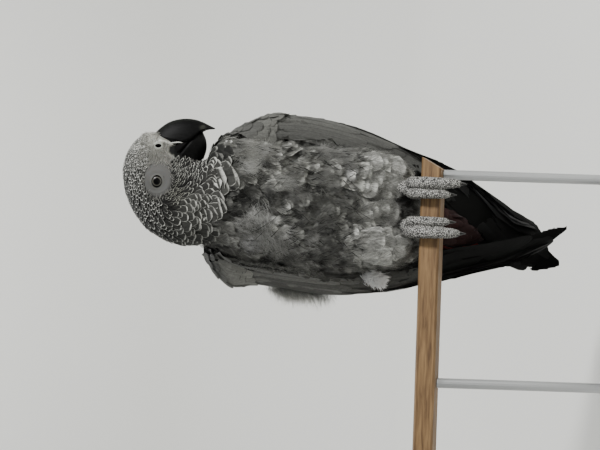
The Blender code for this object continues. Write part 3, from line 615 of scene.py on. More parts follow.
def feather_material(name, roughness, soft, streaky):
    """A vane with slanted barbs, a pale frayed rim and a darker shaft, from each feather's own sizes."""
    mat, shader = material(name, Roughness=roughness, Specular_IOR_Level=0.15, Sheen_Weight=soft,
                           Sheen_Roughness=0.5)
    tint = node(mat, "Attribute", attribute_name="tint")
    edging = node(mat, "Attribute", attribute_name="edging")
    sizes = node(mat, "Attribute", attribute_name="sizes")
    uv = node(mat, "UVMap", uv_map="Vane")

    def maths(kind, a, b=0.0, c=0.0):
        """One step of arithmetic on the shader's values."""
        return node(mat, "Math", {0: a, 1: b, 2: c}, operation=kind).outputs[0]

    place = node(mat, "SeparateXYZ", {0: uv.outputs["UV"]})
    size = node(mat, "SeparateColor", {0: sizes.outputs["Color"]})
    aside = maths("ABSOLUTE", maths("MULTIPLY_ADD", place.outputs[0], 2.0, -1.0))
    off_side = maths("MULTIPLY", maths("SUBTRACT", 1.0, aside), size.outputs[0])
    off_side = maths("MULTIPLY", off_side, sizes.outputs["Alpha"])
    off_tip = maths("MULTIPLY", maths("SUBTRACT", 1.0, place.outputs[1]), size.outputs[1])
    off_side = maths("ADD", off_side, maths("MULTIPLY", off_tip, 0.12))
    off_edge = maths("SMOOTH_MIN", off_side, off_tip, 0.5)
    along = maths("MULTIPLY", place.outputs[1], size.outputs[1])
    out = maths("MULTIPLY", aside, size.outputs[0])
    barb = maths("SINE", maths("MULTIPLY", maths("SUBTRACT", along, maths("MULTIPLY", out, 0.9)), 14.0))
    object_place = node(mat, "TexCoord").outputs["Object"]
    noise = node(mat, "TexNoise", {"Vector": object_place, "Scale": 900.0, "Detail": 3.0})
    ragged = maths("MULTIPLY_ADD", noise.outputs[0], 0.9, -0.45)
    rim = node(mat, "MapRange", {0: maths("ADD", off_edge, maths("MULTIPLY", ragged, size.outputs[2])),
                                 1: maths("MULTIPLY", size.outputs[2], 1.4),
                                 2: maths("MULTIPLY", size.outputs[2], 0.4), 3: 0.0, 4: 1.0},
               interpolation_type="SMOOTHSTEP")
    mix = node(mat, "Mix", {0: rim.outputs[0], 6: tint.outputs["Color"], 7: edging.outputs["Color"]},
               data_type="RGBA")
    shaft = node(mat, "MapRange", {0: out, 1: 0.28, 2: 0.1, 3: 1.0, 4: 0.7})
    mottle = node(mat, "MapRange", {0: noise.outputs[0], 1: 0.3, 2: 0.7, 3: 0.86, 4: 1.14})
    slant = maths("SUBTRACT", out, maths("MULTIPLY", along, 0.55))
    strand = node(mat, "CombineXYZ", {0: maths("MULTIPLY", slant, 1.6), 1: maths("MULTIPLY", along, 0.16),
                                      2: maths("MULTIPLY", tint.outputs["Fac"], 400.0)})
    streak = node(mat, "TexNoise", {"Vector": strand.outputs[0], "Scale": 1.0, "Detail": 3.0})
    streaks = node(mat, "MapRange",
                   {0: streak.outputs[0], 1: 0.32, 2: 0.66, 3: 1.0 - streaky, 4: 1.0 + streaky})
    lines = maths("MULTIPLY", maths("MULTIPLY_ADD", barb, 0.06, 1.0), streaks.outputs[0])
    value = maths("MULTIPLY", maths("MULTIPLY", shaft.outputs[0], mottle.outputs[0]), lines)
    final = node(mat, "HueSaturation", {"Value": value, "Color": mix.outputs[2]})
    bump = node(mat, "Bump", {"Height": barb, "Strength": 0.3, "Distance": 0.00006})
    wired(mat, shader, Base_Color=final.outputs[0], Normal=bump.outputs[0])
    return mat


contour = feather_material("feather_contour_matt", 0.8, 0.05, 0.14)
loose_vane = feather_material("feather_loose_matt", 0.85, 0.05, 0.45)

skin_tree = tree_of(skin)
# The back edge of the mouth's bare corner, as z and x.
MOUTH_LINE = np.array(((284, 43), (287, 44), (291, 45.5), (297, 46.5), (301, 47.5), (306, 50.5)))


def feathered(points):
    """Where feathers grow: not on the face patch, in the mouth's corner or at the bill's root."""
    x, _, z = points.T
    mouth = (x > np.interp(z, *MOUTH_LINE.T)) & (z > 284) & (z < 306)
    root = (x > 57) & (z > 284) & (z < 319)
    return (bare(points) < 0.5) & ~mouth & ~root


roots, root_normals = scatter(skin_mesh, feathered)
values = blend_tracts(roots)
length, wide, depth, loose, rim = values[:, (LENGTH, WIDTH, DEPTH, LOOSE, RIM)].T
tint, edge_tint = values[:, VANE], values[:, EDGE]
way = laid(values[:, WAY], root_normals)
turn = rng.standard_normal(len(roots)) * (0.06 + 0.34 * loose)
way = swung(way, root_normals, turn)
length = length * (1 + 0.1 * rng.standard_normal(len(roots)))
wide = wide * (1 + 0.08 * rng.standard_normal(len(roots)))
tint = tint * uneven(len(roots), 0.08 + 0.15 * loose, 0.4, 1.8)
edge_tint = edge_tint * uneven(len(roots), 0.22, 0.5, 1.5)
# Painted shadow: the feathers down the throat, under the bill, painted dark as the bill's shadow on them.
THROAT_X, THROAT_HALF = 51.4, 2.6
x, y, z = roots.T
throat = np.clip(THROAT_HALF - np.abs(x - THROAT_X) / THROAT_HALF, 0, 1) * np.clip((z - 260) / 5, 0, 1)
throat = (throat * np.clip((286 - z) / 3, 0, 1) * (y < HEAD_Y + 8))[:, None]
tint, edge_tint = tint * (1 - 0.82 * throat), edge_tint * (1 - 0.95 * throat)
uv = bake_uv(roots, BODY_MIDDLE)
NECK_Z, BELLY_Z, THIGH_Z, SMALL_LENGTH = 286, 222, 184, 5.2
small, collar = length < SMALL_LENGTH, collar_height(roots) > 0
cheek = (z >= NECK_Z + 1.5) & (z < 306) & (x > np.interp(z, (290, 300), (30, 24)))
head = (z >= NECK_Z) & ~cheek
# Which roots, shape of vane, columns of faces, camber and the rim's width at the sides.
groups = {
    "coat_crown": (head & small, "scale", 2, 0.2, 2.5),
    "coat_cheeks": (cheek, "streak", 2, 0.2, 1.0),
    "coat_nape": (head & ~small, "broad", 4, 0.08, 2.2),
    "coat_collar": (collar & (z < NECK_Z), "crescent", 6, 0.05, 2.0),
    "coat_breast": (~collar & (z < NECK_Z) & (z >= BELLY_Z), "fan", 4, 0.16, 3.0),
    "coat_belly": ((z < BELLY_Z) & (z >= THIGH_Z), "fan", 4, 0.16, 3.0),
    "coat_thighs": (z < THIGH_Z, "fan", 4, 0.16, 3.0),
}
barb_mat, shader = material("down_barbs_matt", Roughness=0.95, Specular_IOR_Level=0.1, Sheen_Weight=0.05)
barb_tint = node(barb_mat, "Attribute", attribute_name="tint")
wired(barb_mat, shader, Base_Color=barb_tint.outputs["Color"])
BARB_FACES = ((0, 1, 4, 3), (1, 2, 5, 4), (2, 0, 3, 5), (3, 4, 6), (4, 5, 6), (5, 3, 6), (2, 1, 0))


def lay_barbs(name, base, way, up, length, width, bend, tint, tip_tint, uv):
    """Loose barbs, each a bent three-sided spike, as joined meshes."""
    n = len(base)
    side = unit(np.cross(way, up))
    middle = base + way * (length * 0.5)[:, None] + up * (bend * 0.35)[:, None]
    tip = base + way * (length * 0.93)[:, None] + up * bend[:, None]
    verts = np.empty((n, 7, 3))
    for k, (centre, size) in enumerate(((base, 1.0), (middle, 0.8))):
        r = (width * 0.5 * size)[:, None]
        verts[:, 3 * k] = centre + side * r
        verts[:, 3 * k + 1] = centre - side * r
        verts[:, 3 * k + 2] = centre + up * r * 1.2
    verts[:, 6] = tip
    sizes = np.array([len(f) for f in BARB_FACES])
    flat = np.concatenate([np.array(f) for f in BARB_FACES])
    share = np.array([0, 0, 0, 0.6, 0.6, 0.6, 1.0])[None, :, None]
    colour = tint[:, None] * (1 - share) + tip_tint[:, None] * share
    colour = np.concatenate([colour, np.ones((n, 7, 1))], 2)
    for piece, pick in batches(name, n, (sizes - 2).sum()):
        m = pick.stop - pick.start
        loops = (flat[None] + np.arange(m)[:, None] * 7).ravel()
        local = np.stack([np.broadcast_to(np.array([0, 1, 0.5, 0, 1, 0.5, 0.5]), (m, 7)),
                          np.broadcast_to(share[0, :, 0], (m, 7))], 2)
        bake = (uv[pick, None] + BAKE_PATCH * (local - 0.5)).reshape(-1, 2)
        obj = raw_mesh(piece, verts[pick].reshape(-1, 3) * MM, loops, np.tile(sizes, m),
                       {"tint": colour[pick].reshape(-1, 4)}, {"OFBake": bake}, barb_mat)
        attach(obj, "root")


def fringe(name, spine, normal, along, width, shape, tint, tip_tint, uv, per, reach, spread_out=0.5):
    """Barbs that fray the sides and tip of each feather."""
    n, k = spine.shape[:2]
    stations = np.array(SHAPES[shape])
    f = np.repeat(np.arange(n), per)
    s = 1 - 0.75 * rng.random(len(f)) ** 1.4
    sign = rng.choice((-1.0, 1.0), len(f)) * rng.random(len(f)) ** 0.35
    low = np.clip(np.searchsorted(stations[:, 0], s) - 1, 0, k - 2)
    mix = ((s - stations[low, 0]) / (stations[low + 1, 0] - stations[low, 0]))[:, None]
    centre = spine[f, low] * (1 - mix) + spine[f, low + 1] * mix
    up = unit(normal[f, low] * (1 - mix) + normal[f, low + 1] * mix)
    way = unit(along[f, low] * (1 - mix) + along[f, low + 1] * mix)
    side = unit(np.cross(way, up))
    half = 0.5 * width[f] * np.interp(s, stations[:, 0], stations[:, 1])
    base = centre + side * (sign * half * 0.86)[:, None] + up * 0.05
    out = sign * spread_out * (1.3 - 0.5 * s)
    lift = 0.1 + 0.16 * rng.standard_normal(len(f))
    direction = unit(way + side * out[:, None] + up * lift[:, None])
    direction = unit(direction + 0.07 * rng.standard_normal(direction.shape))
    length = reach[f] * rng.uniform(0.55, 1.25, len(f))
    lay_barbs(name, base, direction, up, length, rng.uniform(0.11, 0.22, len(f)),
              length * rng.normal(-0.05, 0.18, len(f)), tint[f], tip_tint[f], uv[f])


for name, (chosen, shape, cols, camber, side_rim) in groups.items():
    index = np.flatnonzero(chosen)
    ruff = loose[index]
    high = depth[index] * (1 + 0.3 * ruff * rng.standard_normal(len(index)))
    spine, normal, along = march(skin_tree, roots[index], way[index], length[index], SHAPES[shape],
                                 np.full(len(index), 0.15), high)
    tilt = (0.28 * ruff * rng.standard_normal(len(index)))[:, None, None]
    side = np.cross(along, normal)
    normal = unit(normal * np.cos(tilt) + side * np.sin(tilt))
    narrow = wide[index] * (1 - 0.1 * ruff)
    lay_vanes(name, spine, normal, along, narrow, length[index], shape, cols, tint[index],
              edge_tint[index], rim[index], uv[index], loose_vane if shape == "fan" else contour,
              camber=camber, wobble=0.09 if shape == "fan" else 0.03, side_rim=side_rim)
    if shape == "fan":
        fringe(name.replace("coat", "fringe"), spine, normal, along, narrow, shape, tint[index] * 0.9,
               edge_tint[index], uv[index], 44, 3.4 * (0.5 + 0.6 * ruff), 0.3)

# Down: the soft under-feathers, whose loose barbs show through where the body is worn, pale in wisps.
# They grow in tufts below the collar, and each tuft fans out from its own root.
TUFTS, TUFT_BARBS = 1300, 26
body_points = coords(skin_mesh) / MM
low_part = np.flatnonzero((collar_height(body_points) < 0) & (fields[:, LOOSE] > 0.2))
pick = rng.choice(low_part, TUFTS)
root = body_points[pick]
up = normals(skin_mesh)[pick]
area = blend_tracts(root)
way = laid(area[:, WAY], up)
x, _, z = root.T
wave = (np.sin(x * 0.31 + 1.7 * np.sin(z * 0.13)) + np.sin(z * 0.23 + x * 0.11)
        + np.sin(x * 0.17 - z * 0.29 + 2.0)) / 3
turn = 0.5 * rng.standard_normal(TUFTS) + 0.7 * wave
way = swung(way, up, turn)
bright = np.clip(0.75 + 0.5 * wave + 0.25 * rng.standard_normal(TUFTS), 0.25, 1.7)
f = np.repeat(np.arange(TUFTS), TUFT_BARBS)
fan = 0.26 * rng.standard_normal(len(f))
lift = 0.22 + 0.14 * rng.standard_normal(len(f))
direction = unit(swung(way[f], up[f], fan) + up[f] * lift[:, None])
high = area[f, DEPTH] * rng.uniform(0.5, 1.15, len(f))
base = root[f] + up[f] * high[:, None] + 0.5 * rng.standard_normal((len(f), 3))
length = rng.uniform(4.5, 10.0, len(f)) * (0.6 + 0.5 * area[f, LOOSE])
lay_barbs("down", base, direction, up[f], length, rng.uniform(0.1, 0.2, len(f)),
          -0.12 * length * rng.random(len(f)), area[f, VANE] * 0.8 * bright[f, None],
          area[f, EDGE] * bright[f, None], bake_uv(root, BODY_MIDDLE)[f])

# Worn feathers: the broad pale-tipped ones that stand clear on breast, belly and thighs, where the coat
# is plucked thin. Each has its own place, and a frayed fringe of barbs at its sides and tip.
SHAPES["worn"] = ((0.0, 0.45), (0.3, 0.74), (0.58, 0.95), (0.76, 1.0), (0.89, 0.86), (0.97, 0.6),
                  (1.0, 0.32))
# Root x and z, how far it leans aside, length, width, height of the tip, vane and tip colour, rim.
WORN = (
    (27.0, 248.0, 0.05, 13.0, 8.4, 4.6, "5a5a57", "c4c4be", 1.5),
    (52.6, 251.5, 0.0, 10.0, 7.6, 5.0, "666662", "c2c2bc", 1.5),
    (59.0, 244.5, -0.05, 8.5, 6.8, 4.8, "666662", "b4b4ae", 1.3),
    (32.7, 247.5, 0.05, 6.5, 6.0, 5.0, "767672", "aaaaa4", 1.0),
    (47.9, 228.5, 0.0, 9.0, 9.0, 4.8, "777773", "b8b8b2", 1.5),
    (33.0, 233.5, -0.85, 10.5, 8.5, 4.6, "6e6e6a", "83837e", 0.6),
    (56.5, 231.0, -0.1, 9.0, 7.5, 4.4, "5e5e5a", "9a9a95", 1.0),
    (20.0, 225.0, 0.1, 16.0, 15.0, 4.4, "4c4c49", "5e5e5a", 0.8),
    (38.0, 222.0, 0.05, 15.0, 13.0, 4.6, "51514e", "666662", 0.8),
    (12.3, 209.5, 0.05, 8.0, 8.4, 4.8, "6a6a66", "8e8e89", 0.9),
    (11.0, 203.5, 0.05, 8.5, 9.0, 4.8, "7a7a76", "d0d0ca", 1.6),
    (20.6, 199.0, 0.1, 12.0, 9.0, 4.8, "72726e", "a6a6a1", 1.2),
    (23.4, 188.5, 0.1, 12.5, 9.6, 5.0, "7c7c78", "b4b4ae", 1.4),
    (31.0, 187.5, 0.25, 13.0, 9.0, 5.0, "74746f", "bcbcb6", 1.4),
    (10.2, 193.5, 0.05, 12.0, 5.6, 5.2, "a8a8a3", "dededa", 1.2),
    (-2.0, 194.0, 0.0, 11.5, 10.5, 5.0, "a6a6a1", "d6d6d0", 1.2),
    (3.5, 188.0, 0.05, 14.0, 13.0, 4.6, "8a8a86", "a6a6a1", 1.0),
    (46.8, 215.5, 0.0, 9.0, 12.0, 4.8, "7a7a76", "aeaea8", 1.6),
    (46.6, 208.0, 0.0, 10.5, 13.0, 4.8, "828280", "b2b2ac", 1.6),
    (40.0, 198.5, -0.1, 9.0, 12.0, 4.8, "80807c", "b4b4ae", 1.8),
    (49.5, 199.5, 0.05, 10.0, 13.0, 4.8, "868682", "b8b8b2", 1.8),
    (43.7, 191.0, -0.05, 9.5, 14.0, 4.8, "868682", "bcbcb6", 1.8),
    (53.5, 188.5, 0.05, 10.0, 12.0, 4.8, "888884", "b4b4ae", 1.6),
    (44.0, 183.0, 0.0, 10.0, 14.0, 4.6, "80807c", "aeaea8", 1.6),
    (52.5, 178.5, 0.0, 10.0, 13.0, 4.6, "80807c", "acaca6", 1.6),
    (48.0, 173.0, 0.0, 12.0, 7.0, 5.2, "a2a29e", "d8d8d2", 1.4),
    (-3.6, 176.0, 0.1, 13.0, 10.0, 4.6, "7c7c78", "a4a49e", 1.2),
    (4.0, 175.0, 0.1, 13.0, 11.0, 4.6, "80807c", "a8a8a2", 1.4),
    (12.0, 177.0, 0.1, 12.0, 10.0, 4.4, "72726e", "9a9a95", 1.2),
    (-7.0, 204.0, 0.0, 11.0, 9.0, 4.6, "62625e", "8a8a85", 1.0),
    (2.5, 240.0, 0.25, 11.0, 8.0, 4.0, "5e5e5b", "8a8a85", 1.0),
    (45.0, 238.0, -0.1, 9.0, 7.0, 4.4, "666662", "a6a6a0", 1.2),
    (27.0, 171.0, 0.0, 11.0, 9.0, 4.0, "4e4e4b", "6c6c68", 0.8),
    (36.0, 176.0, 0.0, 12.0, 9.0, 4.2, "62625f", "8c8c87", 1.0),
    (31.5, 212.0, -0.1, 13.0, 11.0, 4.4, "5a5a57", "7e7e79", 1.0),
    (4.0, 219.0, 0.1, 10.0, 8.0, 4.4, "585855", "8e8e88", 1.0),
    (-4.5, 195.0, 0.0, 19.0, 13.5, 6.2, "b2b2ad", "cacac4", 0.8),
    (7.0, 199.5, 0.15, 20.0, 12.5, 5.8, "7e7e7a", "b2b2ac", 1.2),
    (19.5, 198.0, 0.2, 15.0, 10.5, 5.8, "767672", "acaca6", 1.2),
    (25.5, 187.0, 0.0, 17.0, 15.5, 5.8, "767672", "a2a29d", 1.2),
    (39.0, 199.5, 0.0, 15.0, 14.5, 5.8, "868682", "b0b0aa", 1.2),
    (50.5, 197.5, 0.05, 16.0, 14.0, 5.8, "8c8c88", "b2b2ac", 1.2),
    (41.0, 186.5, 0.0, 18.0, 15.0, 6.0, "90908c", "b4b4ae", 1.2),
    (52.5, 184.5, -0.05, 17.0, 13.0, 6.0, "90908c", "b0b0aa", 1.2),
    (3.5, 183.0, 0.0, 16.0, 13.5, 5.6, "8e8e8a", "b4b4ae", 1.0),
)


def front_hits(places):
    """The skin's points and normals straight behind places (x, z) on the bird's front."""
    found = []
    for x, z in places:
        hit, up, _, _ = skin_tree.ray_cast(Vector((x, -90, z)), Vector((0, 1, 0)))
        if hit is None:
            hit, up, _, _ = skin_tree.find_nearest(Vector((x, -20, z)))
        found.append((hit, up))
    return np.array([hit for hit, _ in found]), np.array([up for _, up in found])


x, z, aside, long, broad, high, rim = np.array([(*row[:6], row[8]) for row in WORN]).T
vane, edge = (np.array([rgb(row[i]) for row in WORN]) for i in (6, 7))
edge = 0.75 * edge + 0.1 * vane
broad = broad * 1.1
roots, up = front_hits(zip(x, z))
aside = aside + 0.16 * rng.standard_normal(len(WORN))
way = laid(unit(np.stack([aside, 0 * aside, -1 + 0 * aside], 1)), up)
spine, normal, along = march(skin_tree, roots, way, long, SHAPES["worn"], np.full(len(WORN), 1.4), high, 0.9)
uv = bake_uv(roots, BODY_MIDDLE)
lay_vanes("worn_feathers", spine, normal, along, broad, long, "worn", 8, vane, edge, rim * 1.7, uv,
          loose_vane, camber=0.14, wobble=0.07, side_rim=3.0)
fringe("worn_fringe", spine, normal, along, broad, "worn", vane * 0.95, edge, uv, 260,
       np.full(len(WORN), 2.4), 0.3)

# Fluff: patches of white down that burst out between the worn feathers, at the breast's edge and over the
# thighs. Each is a drift of loose barbs round its own place, all blown about the same way.
# x and z, radius, barbs, way across and down, length, root and tip colour.
FLUFF = (
    (19.5, 254.0, 6.5, 840, (-0.75, -0.35), 7.0, "8a8a86", "c8c8c4"),
    (10.0, 250.0, 6.0, 600, (-0.9, -0.2), 7.5, "8a8a86", "bcbcb8"),
    (4.0, 243.0, 6.0, 520, (-0.8, -0.5), 7.5, "80807c", "b2b2ae"),
    (47.5, 261.0, 4.5, 720, (-0.1, -1.0), 8.0, "92928e", "d8d8d4"),
    (55.0, 257.0, 5.0, 680, (0.35, -0.9), 8.0, "868682", "c0c0bc"),
    (9.8, 236.5, 4.0, 400, (-0.5, -0.8), 7.0, "8a8a86", "c4c4c0"),
    (8.0, 224.0, 3.5, 360, (-0.4, -0.9), 6.5, "80807c", "bcbcb8"),
    (37.8, 246.0, 3.0, 480, (0.0, -1.0), 10.0, "8e8e8a", "c8c8c4"),
    (38.5, 238.0, 3.0, 400, (-0.1, -1.0), 9.0, "8a8a86", "c0c0bc"),
    (42.0, 220.0, 5.0, 440, (0.2, -1.0), 9.0, "6e6e6a", "9a9a96"),
    (17.4, 246.0, 1.6, 180, (-0.2, -1.0), 5.0, "c8c8c4", "f0f0ec"),
    (0.0, 232.0, 5.0, 480, (-0.6, -0.8), 7.0, "72726e", "a0a09c"),
    (0.0, 215.0, 6.0, 600, (-0.5, -0.9), 6.5, "5c5c59", "8a8a86"),
    (16.0, 216.0, 6.0, 520, (0.2, -1.0), 8.0, "5a5a57", "868682"),
    (55.0, 219.0, 4.0, 600, (0.75, -0.65), 7.5, "72726e", "aaaaa6"),
    (55.5, 209.0, 4.0, 520, (0.75, -0.65), 7.0, "6e6e6a", "a4a4a0"),
    (28.0, 238.0, 5.0, 360, (0.1, -1.0), 8.0, "5a5a57", "82827e"),
    (5.0, 259.0, 5.0, 480, (-0.6, -0.8), 7.0, "8a8a86", "bababa"),
    (14.0, 263.0, 5.0, 440, (-0.3, -0.9), 7.5, "767672", "a8a8a4"),
    (-4.0, 275.0, 3.5, 480, (-0.4, -0.9), 7.0, "464643", "6a6a66"),
    (-5.5, 268.0, 3.0, 320, (-0.5, -0.9), 6.5, "464643", "6a6a66"),
    (52.0, 203.0, 5.0, 320, (0.3, -1.0), 7.0, "80807c", "b0b0ac"),
    (46.0, 190.0, 9.0, 840, (0.0, -1.0), 6.0, "92928e", "c4c4c0"),
    (3.0, 180.0, 8.0, 960, (0.05, -1.0), 6.0, "a2a29e", "d2d2ce"),
    (30.0, 182.0, 7.0, 440, (0.1, -1.0), 6.0, "6e6e6a", "9c9c98"),
    (-4.0, 183.0, 5.0, 440, (0.0, -1.0), 8.0, "9a9a96", "c8c8c4"),
    (27.5, 205.0, 5.0, 320, (0.1, -1.0), 8.0, "5a5a57", "84847f"),
    (60.0, 262.0, 3.5, 400, (0.4, -0.9), 6.5, "80807b", "b4b4ae"),
    (52.0, 264.0, 4.5, 480, (0.1, -1.0), 8.0, "80807b", "b8b8b2"),
)
for number, (x, z, radius, count, (down_x, down_z), long, dark, pale) in enumerate(FLUFF):
    root, up = front_hits(rng.standard_normal((count, 2)) * radius * 0.5 + (x, z))
    way = unit(np.array([down_x, -0.1, down_z]) + 0.25 * rng.standard_normal((count, 3)))
    way = laid(way, up, rng.uniform(0.02, 0.3, count)[:, None])
    length = long * rng.uniform(0.6, 1.3, count)
    bright = rng.uniform(0.7, 1.15, count)[:, None]
    lay_barbs(f"fluff_{number + 1}", root + up * rng.uniform(1.6, 3.6, count)[:, None], way, up, length,
              rng.uniform(0.09, 0.18, count), -0.15 * length * rng.random(count), bright * hue(dark),
              bright * hue(pale), bake_uv(root, BODY_MIDDLE))

# Bare quills: dark horny shafts whose vanes the bird has bitten off. They stand out at odd angles
# through the worn coat of breast and belly, and their dark lines also serve as painted shade, for the
# shadow lines in the gaps between the breast's feathers.
QUILLS, QUILL_DARK, QUILL_TIP = 220, "161615", "3c3c39"
root, up = front_hits(zip(rng.uniform(-6, 62, QUILLS), rng.uniform(196, 260, QUILLS)))
way = unit(np.stack([0.7 * rng.standard_normal(QUILLS), np.zeros(QUILLS), -np.ones(QUILLS)], 1))
way = laid(way, up, 0.1)
length = rng.uniform(5.0, 11.0, QUILLS)
lay_barbs("bare_quills", root + up * rng.uniform(3.4, 5.2, QUILLS)[:, None], way, up, length,
          rng.uniform(0.3, 0.55, QUILLS), -0.18 * length, np.tile(rgb(QUILL_DARK), (QUILLS, 1)),
          np.tile(rgb(QUILL_TIP), (QUILLS, 1)), bake_uv(root, BODY_MIDDLE))

# Wings: folded and held a little off the body, their tips crossed behind the tail. Small round coverts
# on the shoulder, long narrow ones below, then the secondaries and the near-black primaries.
# Each row of a wing's outer sheet: height, then x and y of its front edge, its crest and its back edge.
WING_RIGHT = (
    (287.5, (-6.0, 0.0), (-8.0, 8.0), (-3.0, 15.0)),
    (280.0, (-2.5, -9.0), (-17.0, 3.0), (1.4, 22.4)),
    (269.0, (-2.0, -12.0), (-25.3, 4.0), (0.9, 29.4)),
    (255.0, (-2.5, -11.0), (-23.4, 12.0), (1.2, 37.7)),
    (236.0, (-4.5, -6.0), (-26.4, 16.0), (2.9, 44.1)),
    (209.0, (-8.0, 6.0), (-28.6, 24.0), (4.5, 50.6)),
    (190.0, (-10.0, 17.0), (-27.3, 31.0), (4.7, 54.7)),
    (170.0, (-11.0, 28.0), (-25.2, 39.0), (1.9, 58.2)),
    (153.0, (-8.0, 38.0), (-21.6, 47.0), (-1.3, 58.6)),
    (135.0, (1.0, 48.0), (-16.4, 56.0), (-3.0, 63.5)),
    (111.0, (2.6, 58.0), (-10.2, 64.0), (-1.0, 75.0)),
    (91.0, (7.0, 66.0), (-4.9, 72.0), (0.0, 79.0)),
    (74.0, (14.0, 76.0), (2.5, 80.0), (5.5, 84.0)),
    (62.0, (17.8, 81.0), (8.4, 84.0), (10.5, 87.0)),
    (50.0, (19.6, 86.0), (17.2, 87.0), (18.2, 88.5)),
)
WING_LEFT = (
    (281.0, (57.0, 2.0), (60.0, 9.0), (50.0, 19.0)),
    (274.0, (60.0, -7.0), (65.4, 4.0), (43.0, 28.0)),
    (265.0, (62.0, -9.0), (71.4, 3.0), (38.0, 36.0)),
    (253.0, (64.0, -8.0), (76.6, 6.0), (34.6, 44.0)),
    (241.0, (66.0, -5.0), (78.6, 10.0), (31.0, 49.0)),
    (227.0, (66.3, 1.0), (78.0, 16.0), (28.5, 52.0)),
    (212.0, (64.0, 8.0), (76.4, 22.0), (26.5, 55.0)),
    (193.0, (60.0, 16.0), (72.6, 29.0), (24.5, 58.5)),
    (178.0, (57.0, 22.0), (67.4, 36.0), (25.6, 62.3)),
    (158.0, (51.0, 34.0), (61.0, 46.0), (28.3, 64.0)),
    (138.0, (33.0, 47.0), (54.5, 56.0), (29.2, 69.0)),
    (124.0, (20.2, 56.0), (47.5, 61.0), (27.0, 77.0)),
    (113.0, (11.6, 64.0), (39.7, 65.0), (28.0, 80.0)),
    (103.0, (3.8, 78.0), (31.6, 71.0), (25.5, 83.0)),
    (89.0, (-5.8, 90.5), (21.2, 79.0), (18.5, 89.0)),
    (72.0, (-12.0, 93.5), (14.8, 87.0), (11.5, 93.0)),
    (63.0, (-12.6, 94.0), (3.6, 91.5), (0.5, 94.5)),
    (53.0, (-8.6, 94.0), (-5.5, 93.6), (-4.2, 95.2)),
)
# Each row of feathers: first and last height of its roots, step down and across, length, width, height
# over the sheet, vane and edge colours, edge width. The edge colour is painted darker than the vane, as the
# shade where each feather overlaps the next. The primaries run to the wing's tip.
WING_ROWS = (
    ("primaries", 182.0, 168.0, 7.0, 6.0, 0.0, 13.0, 0.3, "0d0d0c", "050505", 0.4),
    ("secondaries", 226.0, 206.0, 10.0, 5.5, 64.0, 8.0, 0.6, "4a4a47", "252524", 0.5),
    ("greater", 260.0, 242.0, 9.0, 5.6, 60.0, 5.8, 0.9, "52524f", "262625", 0.45),
    ("median", 269.0, 262.0, 3.5, 5.5, 13.0, 9.5, 1.2, "5a5a56", "2e2e2c", 0.4),
    ("lesser", 289.0, 269.0, 4.2, 5.0, 9.5, 8.0, 1.4, "4c4c49", "343432", 0.4),
)
COVERT_SHIFT = {"right": 5.5, "left": -11.0}
# How bright the right wing's rows are by height of their roots: palest where the shoulder faces the light.
SHOULDER_LIGHT = np.array(((210, 0.85), (240, 0.85), (258, 1.0), (266, 1.85), (276, 1.95), (284, 1.4)))
# How deep the bed lies inside the solids by height: shallow where the tips are thin.
BED_INSET = np.array(((100, 0.1), (150, 1.5)))
# How far the sheet keeps off the skin above the trunk's lower end, how far it may move to meet the bed,
# and how far apart the lining's feathers grow.
OFF_SKIN, TRUNK_LOW, OFF_MOST, LINING_GAP = 5.2, 155, 6.0, 3.6
flight = feather_material("feather_flight_smooth", 0.6, 0.05, 0.12)


def smooth_rows(rows, count):
    """Rows of numbers resampled evenly along a Catmull-Rom curve through them."""
    rows = np.asarray(rows, float)
    padded = np.concatenate([2 * rows[:1] - rows[1:2], rows, 2 * rows[-1:] - rows[-2:-1]])
    out = []
    for u in np.linspace(0, len(rows) - 1, count):
        i = min(int(u), len(rows) - 2)
        t = u - i
        a, b, c, d = padded[i:i + 4]
        out.append(0.5 * (2 * b + (c - a) * t + (2 * a - 5 * b + 4 * c - d) * t * t
                          + (3 * b - a - 3 * c + d) * t ** 3))
    return np.array(out)


def wing_sheet(table, t, z):
    """Points of a wing's outer sheet at shares t from front edge to back edge and heights z."""
    rows = smooth_rows([(h, *f, *c, *b) for h, f, c, b in table], 90)[::-1]
    cols = [np.interp(z, rows[:, 0], rows[:, i]) for i in range(1, 7)]
    near, crest, far = (2 * t * t - 3 * t + 1), (4 * t - 4 * t * t), (2 * t * t - t)
    x = cols[0] * near + cols[2] * crest + cols[4] * far
    y = cols[1] * near + cols[3] * crest + cols[5] * far
    return np.stack([x, y, np.broadcast_to(z, x.shape)], -1)


def wing_grid(table):
    """The sheet as a grid of points, pushed off the plumage it lies on."""
    ts, zs = np.linspace(0, 1, 33), np.linspace(table[-1][0], table[0][0], 100)
    grid = wing_sheet(table, *np.meshgrid(ts, zs))
    for point in grid.reshape(-1, 3):
        near, up, _, _ = skin_tree.find_nearest(Vector(point))
        short = OFF_SKIN - (Vector(point) - near).dot(up)
        if short > 0 and point[2] > TRUNK_LOW:
            point += np.array(up) * short
    # The sign that turns the grid's normals outward, told at a cell on the crest of the wing.
    row, col = 70, 16
    outward = np.cross(grid[row, col + 1] - grid[row, col - 1], grid[row - 1, col] - grid[row + 1, col])
    from_body = grid[row, col] - np.array((*WINGS_MIDDLE[:2], grid[row, col, 2]))
    return grid, ts, zs, np.sign(outward.dot(from_body))


def on_grid(table_grid, t, z):
    """Points of a wing's grid at shares t and heights z, blended between its own."""
    grid, ts, zs, _ = table_grid
    i = np.clip(np.interp(z, zs, np.arange(len(zs))), 0, len(zs) - 1.001)
    j = np.clip(np.interp(t, ts, np.arange(len(ts))), 0, len(ts) - 1.001)
    i0, j0 = i.astype(int), j.astype(int)
    a, b = (i - i0)[..., None], (j - j0)[..., None]
    return (grid[i0, j0] * (1 - a) * (1 - b) + grid[i0 + 1, j0] * a * (1 - b)
            + grid[i0, j0 + 1] * (1 - a) * b + grid[i0 + 1, j0 + 1] * a * b)


